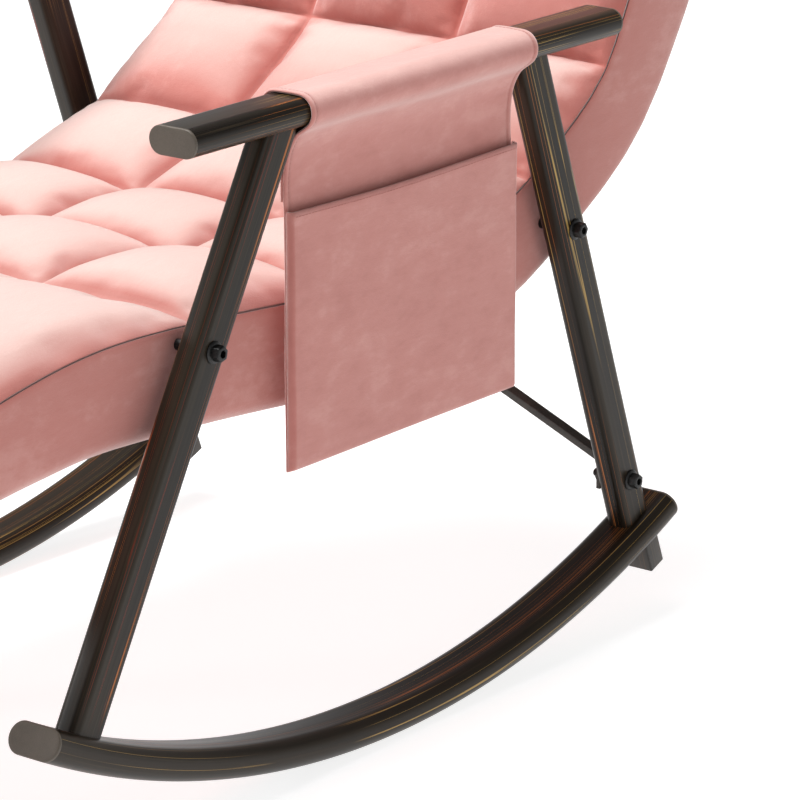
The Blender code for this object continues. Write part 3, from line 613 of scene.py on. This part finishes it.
BOLT_ROWS = [(-0.004, 0.0040, 0), (-0.0003, 0.0040, 0), (-0.0003, 0.0094, 0), (-0.0001, 0.0098, 0),
             (0.0011, 0.0098, 0), (0.0014, 0.0095, 0), (0.0020, 0.0080, 0), (0.0023, 0.0067, 0),
             (0.0023, 0.0065, 1), (0.0085, 0.0065, 1), (0.0094, 0.0061, 1), (0.0099, 0.0055, 0),
             (0.0100, 0.0048, 0), (0.0100, 0.0036, 0), (0.0097, 0.0031, 1), (0.0055, 0.0030, 1)]
for tag, side in SIDES:
    for kind, spin in (("seat_bolt_front_", 0.25), ("seat_bolt_rear_", 0.05), ("stay_bolt_", 0.4)):
        lo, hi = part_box(kind + tag)
        yz = ((lo.y + hi.y) / 2, (lo.z + hi.z) / 2)
        turned(kind + "head_" + tag, side * (FRAME_HALF + LEG_W / 2), side, yz, BOLT_ROWS, black_finish,
               "black_hardware", kind + tag, spin=spin)
    lo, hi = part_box("stay_nut_" + tag)
    yz, x0 = ((lo.y + hi.y) / 2, (lo.z + hi.z) / 2), (hi.x if side > 0 else lo.x)
    turned("inside_nut_" + tag, x0, -side, yz,
           [(0, 0.0090, 0), (0.0010, 0.0090, 0), (0.0013, 0.0086, 0), (0.0013, 0.0064, 1),
            (0.0058, 0.0064, 1), (0.0066, 0.0060, 1), (0.0070, 0.0050, 0), (0.0070, 0.0036, 0),
            (0.0100, 0.0036, 0), (0.0104, 0.0031, 0)],
           black_finish, "black_hardware", "stay_nut_" + tag)
    for kind in ("seat_spacer_front_", "seat_spacer_rear_"):
        lo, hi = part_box(kind + tag)
        yz, run = ((lo.y + hi.y) / 2, (lo.z + hi.z) / 2), hi.x - lo.x
        x0 = hi.x if side > 0 else lo.x
        turned(kind + "sleeve_" + tag, x0, -side, yz,
               [(0, 0.0044, 0), (0, 0.0048, 0), (0.0004, 0.0052, 0), (run - 0.0004, 0.0052, 0),
                (run, 0.0048, 0), (run, 0.0044, 0)], black_finish, "inner_steel", kind + tag, loop=True)
print("bolt circle", len(BOLT_ROWS), "rows")

# %% [markdown]
# The steel inside the cushion, its plates and the cloth stretched over it keep their solids;
# they only need a finish in their own material slots.

# %% Finishes for the parts inside
KEPT = {"seat_rail_": steel_finish, "hanger_plate_": steel_finish, "stay_plate_": stay_finish,
        "stay_anchor_": stay_finish, "front_cross_bar": steel_finish, "seat_cross_bar": steel_finish,
        "rear_seat_cross_bar": steel_finish, "lower_back_cross_bar": steel_finish,
        "top_cross_bar": steel_finish, "support_cloth_panel": lining_finish, "seat_nut_": black_finish}
kept = 0
for name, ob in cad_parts.items():
    for start_name, material in KEPT.items():
        if name.startswith(start_name):
            ob.data.materials.clear()
            ob.data.materials.append(material)
            kept += 1
print("kept solids", kept)

# %% [markdown]
# ## The cushion
# Seat and back are one long pad.  Its side view is a line that dips at the hips and climbs
# into the back; every point of the pad is a place across (x), a place along that line (s) and
# a height above it.  The top is sewn into three columns of pillows.  Each pillow swells like a
# dome between its seams: the product of two half-circle-like humps, one across and one along.
# The front panel under the knees is one long pillow with no seams across it.

# %% The line of the seat and back
SEAM = ((-0.592, 0.338), (-0.583, 0.358), (-0.562, 0.3765), (-0.520, 0.3950), (-0.467, 0.4080),
        (-0.407, 0.4184), (-0.347, 0.4240), (-0.308, 0.4243), (-0.240, 0.4212),
        (-0.172, 0.4165), (-0.111, 0.4110), (-0.040, 0.4050),
        (0.030, 0.4030), (0.090, 0.4062), (0.150, 0.4155), (0.200, 0.4300), (0.242, 0.4490),
        (0.272, 0.4655), (0.302, 0.4830), (0.331, 0.5020), (0.353, 0.5200), (0.370, 0.5400),
        (0.3825, 0.5600), (0.3935, 0.5800), (0.4040, 0.6000), (0.4300, 0.6500), (0.4560, 0.7030),
        (0.4800, 0.7560), (0.5020, 0.8080), (0.5210, 0.8580), (0.5370, 0.9050))


def seam_line(count):
    """Evenly spaced points on the side line with unit normals, smoothed twice."""
    s, c = through(SEAM, count)
    d = np.gradient(c, s, axis=0)
    for _ in range(2):
        d[1:-1] = (d[:-2] + 2 * d[1:-1] + d[2:]) / 4
    d /= np.linalg.norm(d, axis=1)[:, None]
    return s, c, np.stack([-d[:, 1], d[:, 0]], 1)


LINE_S, LINE_C, LINE_N = seam_line(49)
LENGTH = float(LINE_S[-1])


def on_line(s, x, n):
    """Point at distance s along the side line, x across, n above it."""
    cy, cz = (np.interp(s, LINE_S, LINE_C[:, k]) for k in (0, 1))
    ny, nz = (np.interp(s, LINE_S, LINE_N[:, k]) for k in (0, 1))
    k = 1 / np.hypot(ny, nz)
    return np.stack(np.broadcast_arrays(x, cy + n * ny * k + SHIFT, cz + n * nz * k), -1)


print("cushion length along its side", round(LENGTH, 3))

# %% Pillows
GUSSET, PAD_DEPTH, EDGE_X = 0.093, 0.030, SEAT_HALF
DEPTH_SHARE = np.array([(0.0, 0.34), (0.05, 0.64), (0.10, 0.80), (0.20, 0.93), (0.32, 1.0),
                        (0.92, 1.0), (1.02, 1.06), (1.11, 1.20), (1.25, 1.22), (1.45, 1.10)])
COLUMNS = np.array([-EDGE_X, -EDGE_X / 3, EDGE_X / 3, EDGE_X])
ROWS = np.array([0.0, 0.388, 0.569, 0.719, 0.869, 1.019, 1.169, 1.314, LENGTH])
RISE, VALLEY = 0.029, 0.004
PER_COLUMN, PER_ROW = 24, 24


def ticks(edges, per):
    """Grid lines between sewn lines, closer together beside each sewn line."""
    u = np.linspace(0, 1, per, endpoint=False)
    u = u - 0.35 / (2 * math.pi) * np.sin(2 * math.pi * u)
    return np.concatenate([(edges[:-1, None] + u[None] * np.diff(edges)[:, None]).ravel(), edges[-1:]])


def hump(v, edges):
    """0 on every sewn line and 1 midway: (4 t (1 - t)) to a power, t the place between lines."""
    i = np.clip(np.searchsorted(edges, v, side="right") - 1, 0, len(edges) - 2)
    t = np.clip((v - edges[i]) / (edges[i + 1] - edges[i]), 0, 1)
    return np.clip(4 * t * (1 - t), 0, 1) ** 0.52


X_TICKS = ticks(COLUMNS, PER_COLUMN)[::-1]
S_TICKS = ticks(ROWS, PER_ROW)
xx, ss = np.meshgrid(X_TICKS, S_TICKS)
side_fall = np.clip((EDGE_X - np.abs(xx)) / 0.05, 0, 1) ** 0.5
edge_fall = side_fall * np.clip(np.minimum(ss, LENGTH - ss) / 0.05, 0, 1) ** 0.5
front_panel = ss < ROWS[1] - 1e-6
long_pillow = (1 - (xx / EDGE_X) ** 2).clip(0, 1) ** 0.45
pillow = np.where(front_panel, long_pillow, hump(xx, COLUMNS)) * hump(ss, ROWS)
top_height = VALLEY * edge_fall + RISE * pillow
top = on_line(ss, xx, top_height)
print("pillows", (len(COLUMNS) - 1) * (len(ROWS) - 1), "grid", top.shape[:2])

# %% [markdown]
# The pillows are then blown up as cloth.  The sewn lines are pinned, the fabric between them
# is cut a little too large, and pressure from inside pushes it out, which wrinkles it softly
# beside the seams the way filling does.  How far a point may travel is capped, and the
# result is applied.

# %% Swell the pillows
def swell(grid, pins, pressure=2.6, spare=0.012, frames=20, cap_at=0.007):
    """Cloth with pinned seams and inner pressure; the move of each point is capped in length."""
    rows, cols = grid.shape[:2]
    faces = panel_faces(rows, cols)[:, [0, 3, 2, 1]]
    me = bpy.data.meshes.new("swelling")
    me.from_pydata(grid.reshape(-1, 3).tolist(), [], faces.tolist())
    ob = bpy.data.objects.new("swelling", me)
    bpy.context.scene.collection.objects.link(ob)
    pin = ob.vertex_groups.new(name="sewn")
    pin.add([int(v) for v in np.flatnonzero(pins.ravel())], 1.0, "REPLACE")
    m = ob.modifiers.new("swell", "CLOTH")
    c = m.settings
    c.vertex_group_mass = "sewn"
    c.quality, c.mass, c.air_damping = 6, 0.25, 6.0
    c.tension_stiffness, c.compression_stiffness, c.shear_stiffness = 12.0, 12.0, 4.0
    c.bending_stiffness = 6.0
    c.use_pressure, c.uniform_pressure_force = True, pressure
    c.shrink_min = -spare
    c.effector_weights.gravity = 0.0
    m.collision_settings.use_collision = False
    m.collision_settings.use_self_collision = False
    scene = bpy.context.scene
    scene.frame_start, scene.frame_end = 1, frames
    m.point_cache.frame_start, m.point_cache.frame_end = 1, frames
    for f in range(1, frames + 1):
        scene.frame_set(f)
    me2 = ob.evaluated_get(bpy.context.evaluated_depsgraph_get()).to_mesh()
    co = np.empty(len(me2.vertices) * 3)
    me2.vertices.foreach_get("co", co)
    scene.frame_set(1)
    bpy.data.objects.remove(ob, do_unlink=True)
    move = co.reshape(grid.shape) - grid
    size = np.linalg.norm(move, axis=-1, keepdims=True)
    print("swelled by up to", round(float(size.max()) * 1000, 1), "mm")
    return grid + move * np.minimum(1.0, cap_at / np.maximum(size, 1e-9))


def nearest(v, edges):
    return np.abs(v[..., None] - edges).min(-1)


to_column = np.where(front_panel, EDGE_X - np.abs(xx), nearest(xx, COLUMNS))
sewn = (to_column < 0.0012) | (nearest(ss, ROWS) < 0.0012)
top = swell(top, sewn)
print("top ready, highest", round(float(top[..., 2].max()), 4))

# %% [markdown]
# The side band and the underside close the pad.  One ring of the closed body goes over the
# top, down the left band, back under the cushion and up the right band; the two end faces
# bulge out a little between the top seam and the underside.

# %% Close the cushion
def band_profile(count=9):
    """Side band from the seam down to the rounded lower edge: (outward, below)."""
    t = np.linspace(0, 1, count)[1:-1]
    out = 0.0026 * np.sin(math.pi * t) ** 0.7 - 0.006 * np.clip((t - 0.88) / 0.12, 0, 1) ** 2.2
    return out, t


def depth_at(s):
    """Seam to underside: the pad's depth plus the rest times its share at that place."""
    return PAD_DEPTH + (GUSSET - PAD_DEPTH) * np.interp(s, DEPTH_SHARE[:, 0], DEPTH_SHARE[:, 1])


def closed_body(top):
    """Rings of top, left band, underside and right band, plus end faces that shrink to a line."""
    rows, cols = top.shape[:2]
    s = S_TICKS[:, None]
    out, share = band_profile(13)
    deep = depth_at(S_TICKS)[:, None]
    left = on_line(s, -(EDGE_X + out)[None], -deep * share[None])
    right = on_line(s, (EDGE_X + out)[None, ::-1], -deep * share[None, ::-1])
    under_x = X_TICKS[::-1] / EDGE_X * (EDGE_X - 0.009)
    sag = 0.0005 + 0.004 * np.cos(under_x / EDGE_X * math.pi / 2)
    under = on_line(s, under_x[None], -deep - sag[None])
    rings = np.concatenate([top, left, under, right], 1)
    ends = []
    for row, way in ((0, -1.0), (-1, 1.0)):
        ring = rings[row]
        d = np.array([0, LINE_N[row, 1], -LINE_N[row, 0]]) * way
        deep_here = float(depth_at(S_TICKS[row]))
        centre = on_line(S_TICKS[row], 0.0, -deep_here / 2)
        n3 = np.array([0, LINE_N[row, 0], LINE_N[row, 1]])
        rel = ring - centre
        ex, en = rel[:, 0], rel @ n3
        stack = []
        for q in (0.10, 0.28, 0.50, 0.75, 1.0):
            half_n = deep_here / 2 * (1 - q)
            half_x = EDGE_X - deep_here / 2 * q
            px = np.clip(ex, -half_x, half_x)
            pn = np.clip(en, -half_n, half_n)
            bulge = 0.006 * (1 - (1 - q) ** 2.2)
            stack.append(centre + np.stack([px, 0 * px, 0 * px], 1) + pn[:, None] * n3 + bulge * d)
        ends.append(np.array(stack))
    return np.concatenate([ends[0][::-1], rings, ends[1]], 0)


grid = closed_body(top)
rows, cols = grid.shape[:2]
sheet_s = np.concatenate([np.zeros(5), S_TICKS, np.full(5, LENGTH)])[:, None] + np.zeros((1, cols))
on_top = np.zeros((rows, cols))
on_top[5:-5, :len(X_TICKS)] = 1.0
across = np.concatenate([X_TICKS, np.full(11, -9.0), np.full(len(X_TICKS), -9.0), np.full(11, 9.0)])
across = across[None] + np.zeros((rows, 1))
cushion = piece("tufted_cushion", grid.reshape(-1, 3), ring_faces(rows, cols),
                cushion_velvet, sharp=180)
print("cushion grid", rows, "by", cols)

# %% Sewn lines of the cushion
def paint_upward_highlight(me, low, high, most):
    """Painted highlight: smooth step of each point's upward part of its normal, from low to high, times
    `most`.
    """
    n = np.empty(len(me.vertices) * 3)
    me.vertices.foreach_get("normal", n)
    t = np.clip((n.reshape(-1, 3)[:, 2] - low) / (high - low), 0, 1)
    mark(me, "painted_highlight", t * t * (3 - 2 * t) * most)


SEAM_CREASE = 0.85


def sewn_edges(me, rows, cols):
    """Crease weight for the edges that lie on a sewn line, read from their grid places."""
    e = np.empty(len(me.edges) * 2, np.int32)
    me.edges.foreach_get("vertices", e)
    e = e.reshape(-1, 2)
    r, c = e // cols, e % cols
    sa = np.isin(np.round(sheet_s[r[:, 0], 0], 5), np.round(ROWS, 5)) & (r[:, 0] == r[:, 1])
    top_edge = (on_top[r[:, 0], c[:, 0]] > 0) & (on_top[r[:, 1], c[:, 1]] > 0)
    xa = np.isin(np.round(across[0, c[:, 0]], 5), np.round(COLUMNS, 5)) & (c[:, 0] == c[:, 1])
    weight = np.zeros(len(e), np.float32)
    rim = np.isin(c[:, 0], (0, len(X_TICKS) - 1)) & (c[:, 0] == c[:, 1])
    xa &= (sheet_s[r, 0] > ROWS[1] - 1e-6).all(1)
    weight[top_edge & (sa | rim | xa)] = SEAM_CREASE
    return weight


me = cushion.data
weights = sewn_edges(me, rows, cols)
mark(me, "crease_edge", weights, "EDGE")
column_reach = np.where(sheet_s < ROWS[1], EDGE_X - np.abs(across), nearest(across, COLUMNS))
valley = np.minimum(np.abs(column_reach), nearest(sheet_s, ROWS))
# painted shade: the colour darkens towards the sewn lines of the top, in the valleys between pillows
cushion_seam_shade = np.where(on_top > 0, np.exp(-(valley / 0.011) ** 1.3), 0.0)
mark(me, "painted_shade", cushion_seam_shade)
seam_reach = np.full((rows, cols), 0.05)
top_part = slice(0, len(X_TICKS))
seam_reach[:, top_part] = EDGE_X - np.abs(X_TICKS)[None]
seam_reach[5:-5, top_part] = np.minimum(seam_reach[5:-5, top_part],
                                        np.minimum(S_TICKS, LENGTH - S_TICKS)[:, None])
seam_reach[5:-5, len(X_TICKS):len(X_TICKS) + 11] = np.arange(1, 12)[None] * GUSSET / 12
seam_reach[5:-5, -11:] = np.arange(11, 0, -1)[None] * GUSSET / 12
for k in range(5):
    seam_reach[4 - k] = seam_reach[-5 + k] = 0.009 * (k + 1)
mark(me, "seam_reach", seam_reach)
bm = bmesh.new()
bm.from_mesh(me)
bmesh.ops.remove_doubles(bm, verts=bm.verts, dist=0.00005)
bmesh.ops.dissolve_degenerate(bm, edges=bm.edges, dist=0.00002)
bmesh.ops.recalc_face_normals(bm, faces=bm.faces)
bm.to_mesh(me)
bm.free()
outward(me)
# painted highlight on the cushion's up-turned faces
paint_upward_highlight(me, 0.55, 1.0, 0.72)
sub = cushion.modifiers.new("rounding", "SUBSURF")
sub.levels = sub.render_levels = 1
me.shade_smooth()
fit(cushion, "velvet", "seat_and_back_cushion", "under_cover")
print("cushion faces", len(me.polygons), "sewn edges", int((weights > 0).sum()))

# %% [markdown]
# ## The pocket
# A strip of the same velvet, a third of a metre wide, goes over the armrest with a short flap
# inside and a long panel outside; the pocket itself is sewn onto the long panel.  The strip is
# modelled directly: a thin flat oval outline carried over the arm, with its edges a touch
# thicker where the hem is turned.

# %% Strip over the armrest
CLOTH, HEM = 0.0026, 0.0058
POCKET_PLANE = FRAME_HALF - 0.0013
POCKET_BOTTOM, POCKET_MOUTH, POUCH_DEPTH = 0.273, 0.502, 0.0080
lo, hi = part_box("pocket_drape")
STRIP_FRONT, STRIP_REAR = lo.y, hi.y


def strip_path():
    """(x, z) of the strip's middle: flap, round the tube, the tuck below it, and the panel."""
    r = ARM_T / 2 + 0.0003 + 0.0005 + CLOTH / 2
    off, mid = (ARM_W - ARM_T) / 2, POCKET_PLANE - CLOTH / 2
    inner, under = mid - CLOTH - 0.0007, ARM_HEIGHT - ARM_T / 2 - 0.0308
    x = FRAME_HALF
    a1, a2 = np.radians(np.linspace(205, 90, 22)), np.radians(np.linspace(90, -32, 22))
    p = np.concatenate([
        [(inner, under - 0.037), (inner, under - 0.020), (inner - 0.0002, under),
         (inner - 0.0035, under + 0.011)],
        np.stack([x - off + r * np.cos(a1), ARM_HEIGHT + r * np.sin(a1)], 1),
        np.stack([x + off + r * np.cos(a2), ARM_HEIGHT + r * np.sin(a2)], 1),
        [(mid + 0.0105, under + 0.0205), (mid + 0.0030, under + 0.006), (mid, under - 0.010),
         (mid, under - 0.05), (mid, 0.38), (mid, POCKET_BOTTOM)]])
    return through(p, 190)


STRIP_S, STRIP_C = strip_path()


def hem_swell(inward, rise, place, dent):
    """A turned hem: a soft bump of height `rise`, then a dent where it is stitched, at HEM."""
    return (rise * np.exp(-((inward - place) / 0.0022) ** 2)
            - dent * np.exp(-((inward - HEM) / 0.0009) ** 2))


def strip_outline(width, per_side=56):
    """Flat outline in (y, thickness): thin in the middle, a turned hem along both edges."""
    u = np.linspace(-1, 1, per_side)
    u = np.sign(u) * (1 - (1 - np.abs(u)) ** 1.5)
    y = u * width / 2
    inward = width / 2 - np.abs(y)
    half = CLOTH / 2 * np.sqrt(np.clip(1 - (1 - np.clip(inward / 0.0014, 0, 1)) ** 2, 0.02, 1))
    half = half + hem_swell(inward, 0.0004, 0.003, 0.0003)
    return np.concatenate([np.stack([y, half], 1), np.stack([y[::-1], -half[::-1]], 1)])


def strip_body():
    """Outline carried over the arm; the panel's slack is a slow ripple of half a millimetre."""
    d = np.gradient(STRIP_C, STRIP_S, axis=0)
    d /= np.linalg.norm(d, axis=1)[:, None]
    n = np.stack([-d[:, 1], d[:, 0]], 1)
    o = strip_outline(STRIP_REAR - STRIP_FRONT)
    y = (STRIP_FRONT + STRIP_REAR) / 2 + o[:, 0]
    slack = 0.0006 * np.sin(y[None] * 31 + STRIP_S[:, None] * 23) * np.sin(STRIP_S[:, None] * 17 + 1.1)
    h = o[None, :, 1] + slack
    grid = np.stack([STRIP_C[:, :1] + n[:, :1] * h, y[None] + 0 * h, STRIP_C[:, 1:] + n[:, 1:] * h], -1)
    return grid


strip_grid = strip_body()
strip = skin("pocket_strip", strip_grid, pocket_velvet, sharp=60)
edge_in = (STRIP_REAR - STRIP_FRONT) / 2 - np.abs(strip_grid[..., 1] - (STRIP_FRONT + STRIP_REAR) / 2)
# painted shade: a dark line along the stitched hem groove of the strip
strip_hem_shade = 0.9 * np.exp(-((edge_in - HEM) / 0.0012) ** 2)
mark(strip.data, "painted_shade", strip_hem_shade)
# painted highlight on the strip's up-turned faces
paint_upward_highlight(strip.data, 0.2, 1.0, 0.35)
fit(strip, "pocket_velvet", "pocket_drape")
print("strip", round(STRIP_REAR - STRIP_FRONT, 3), "by", round(float(STRIP_S[-1]), 3), "m")

# %% Sewn-on pocket
lo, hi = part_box("pocket_pouch")
POUCH_FRONT, POUCH_REAR = lo.y, hi.y


def pouch_skin(nu=90, nw=60):
    """Front panel (y, z) raised off the strip by a depth that turns over at three sewn edges."""
    def crowd(k):
        t = np.linspace(0, 1, k)
        return t - 0.82 / (2 * math.pi) * np.sin(2 * math.pi * t)
    u, w = np.meshgrid(crowd(nu), np.linspace(0, 1, nw) ** 1.15)
    width, height = POUCH_REAR - POUCH_FRONT, POCKET_MOUTH - POCKET_BOTTOM
    y = POUCH_FRONT + u * width
    side_in = np.minimum(u, 1 - u) * width
    low_in = w * height
    turn = np.clip(side_in / 0.0045, 0, 1)
    turn2 = np.clip(low_in / 0.0050, 0, 1)
    lift = (np.sqrt(np.clip(1 - (1 - turn) ** 2, 0, 1))
            * np.sqrt(np.clip(1 - (1 - turn2) ** 2, 0, 1)))
    belly = 0.0016 * np.sin(math.pi * u) * w ** 1.4
    z = POCKET_BOTTOM + low_in - 0.0022 * np.sin(math.pi * u) ** 1.3 * w ** 3
    ripple = 0.0005 * np.sin(u * 9 + w * 5) * np.sin(w * 7 + 0.6)
    x = POCKET_PLANE + 0.0004 + (POUCH_DEPTH - 0.0012) * lift + belly * lift + ripple * lift
    hem = hem_swell((1 - w) * height, 0.0006, 0.0026, 0.0004)
    return np.stack([x + hem * lift, y, z], -1), side_in, low_in, (1 - w) * height


pouch_grid, side_in, low_in, mouth_in = pouch_skin()
rows, cols = pouch_grid.shape[:2]
pouch = piece("pocket_pouch_panel", pouch_grid.reshape(-1, 3), panel_faces(rows, cols),
              pocket_velvet, sharp=180)
normals = np.empty(len(pouch.data.polygons) * 3)
pouch.data.polygons.foreach_get("normal", normals)
if normals.reshape(-1, 3)[:, 0].mean() < 0:
    pouch.data.flip_normals()
# painted shade: darker along the pouch's mouth hem and where its edges are sewn to the strip
pouch_edge_shade = np.maximum(0.85 * np.exp(-((mouth_in - HEM) / 0.0013) ** 2),
                        0.5 * np.exp(-(np.minimum(side_in, low_in) / 0.004) ** 2))
mark(pouch.data, "painted_shade", pouch_edge_shade)
wall = pouch.modifiers.new("wall", "SOLIDIFY")
wall.thickness, wall.offset = 0.0018, -1.0
fit(pouch, "pocket_velvet", "pocket_pouch")
print("pouch", round(POUCH_REAR - POUCH_FRONT, 3), "m wide")

# %% [markdown]
# Topstitching is thread, so it is geometry: short capsules laid end to end along a line, a
# little proud of the fabric.  One capsule is worked out once and repeated with arrays.

# %% Topstitching
def stitches(lines, pitch=0.0042, length=0.0030, r=0.00035):
    """Capsules of radius r at even distances on each line; each line gives points and normals."""
    ring = np.linspace(0, 2 * math.pi, 6, endpoint=False)
    along = np.array([-0.5, -0.38, 0.38, 0.5]) * length
    size = np.array([0.45, 1.0, 1.0, 0.45]) * r
    all_v, all_f, base = [], [], 0
    for pts, lift in lines:
        s = run_of(pts)
        at = np.arange(pitch, s[-1] - pitch / 2, pitch)
        p = np.stack([np.interp(at, s, pts[:, k]) for k in range(3)], 1)
        q = np.stack([np.interp(at + 1e-4, s, pts[:, k]) for k in range(3)], 1)
        t = (q - p) / np.linalg.norm(q - p, axis=1)[:, None]
        n = np.stack([np.interp(at, s, lift[:, k]) for k in range(3)], 1)
        n = n - t * (n * t).sum(1)[:, None]
        n /= np.linalg.norm(n, axis=1)[:, None]
        b = np.cross(t, n)
        v = (p[:, None, None] + t[:, None, None] * along[None, :, None, None]
             + size[None, :, None, None] * (np.cos(ring)[None, None, :, None] * n[:, None, None] * 0.7
                                            + np.sin(ring)[None, None, :, None] * b[:, None, None]))
        count = len(at)
        one = ring_faces(4, 6)
        caps = [[5, 4, 3, 2, 1, 0], [18, 19, 20, 21, 22, 23]]
        all_v.append(v.reshape(-1, 3))
        for k in range(count):
            all_f += (one + base + 24 * k).tolist() + [[c + base + 24 * k for c in f] for f in caps]
        base += 24 * count
    return np.concatenate(all_v), all_f


lines = []
row = int(np.argmin(np.abs(mouth_in[:, 0] - HEM)))
keep = slice(4, -4)
lines.append((pouch_grid[row, keep] + [0.0001, 0, 0], np.tile([1.0, 0, 0], (cols - 8, 1))))
half_ring = strip_grid.shape[1] // 2
d = np.gradient(STRIP_C, STRIP_S, axis=0)
nrm = np.stack([-d[:, 1], 0 * d[:, 0], d[:, 0]], 1)
for edge in (HEM, STRIP_REAR - STRIP_FRONT - HEM):
    c = int(np.argmin(np.abs(strip_grid[0, :half_ring, 1] - STRIP_FRONT - edge)))
    inside = STRIP_C[:, 0] < FRAME_HALF - 0.003
    upto = int(np.argmin(np.abs(STRIP_C[:, 1] - POCKET_MOUTH) + inside * 9))
    lines.append((strip_grid[:upto, c], nrm[:upto]))
verts, faces = stitches(lines)
sewing = piece("pocket_topstitching", verts, faces, thread, sharp=180)
fit(sewing, "pocket_velvet", "pocket_pouch")
print("stitches", len(verts) // 24)

# %% [markdown]
# ## The studio
# A pale floor that runs well past the view, a surround that is brightest near the horizon, one
# broad soft box overhead, and two weak ones that draw a light edge along the tubes.  Nothing
# here belongs to the chair.

# %% Floor and lights
floor_me = bpy.data.meshes.new("floor")
FLOOR = 60.0
floor_me.from_pydata([(-FLOOR, -FLOOR, 0), (FLOOR, -FLOOR, 0), (FLOOR, FLOOR, 0), (-FLOOR, FLOOR, 0)],
                     [], [(0, 1, 2, 3)])
floor = bpy.data.objects.new("floor", floor_me)
bpy.context.scene.collection.objects.link(floor)
floor.location.z = -0.0004
floor_me.materials.append(finish("pale_floor", colour=(0.50, 0.50, 0.50), Roughness=0.9,
                                 Emission_Color=(1, 1, 1, 1), Emission_Strength=0.80))

world = bpy.data.worlds.new("studio")
bpy.context.scene.world = world
world.use_nodes = True
sky = world.node_tree
backdrop = sky.nodes["Background"].inputs
backdrop["Color"].default_value = (1.0, 1.0, 1.0, 1)
heading = node(sky, "TexCoord").outputs["Generated"]
height = node(sky, "SeparateXYZ", {"Vector": heading}).outputs["Z"]
sky.links.new(ramp(sky, height, 0.05, 0.32, 0.85, 0.20), backdrop["Strength"])


def lamp(name, place, target, size, power, tint=(1, 1, 1)):
    """A square soft box aimed at a point."""
    data = bpy.data.lights.new(name, "AREA")
    data.energy, data.size, data.color = power, size, tint
    ob = bpy.data.objects.new(name, data)
    ob.location = place
    ob.rotation_euler = (Vector(target) - Vector(place)).to_track_quat("-Z", "Y").to_euler()
    bpy.context.scene.collection.objects.link(ob)
    return ob


lamp("overhead", (-0.7, -0.2, 3.5), (0, 0, 0.4), 2.2, 190)
lamp("left_strip", (-2.6, -2.4, 1.6), (0, 0, 0.4), 0.45, 20)
lamp("right_fill", (3.0, -1.6, 1.8), (0, 0, 0.4), 1.6, 12)
bpy.context.scene.view_settings.view_transform = "Standard"
print("studio ready")
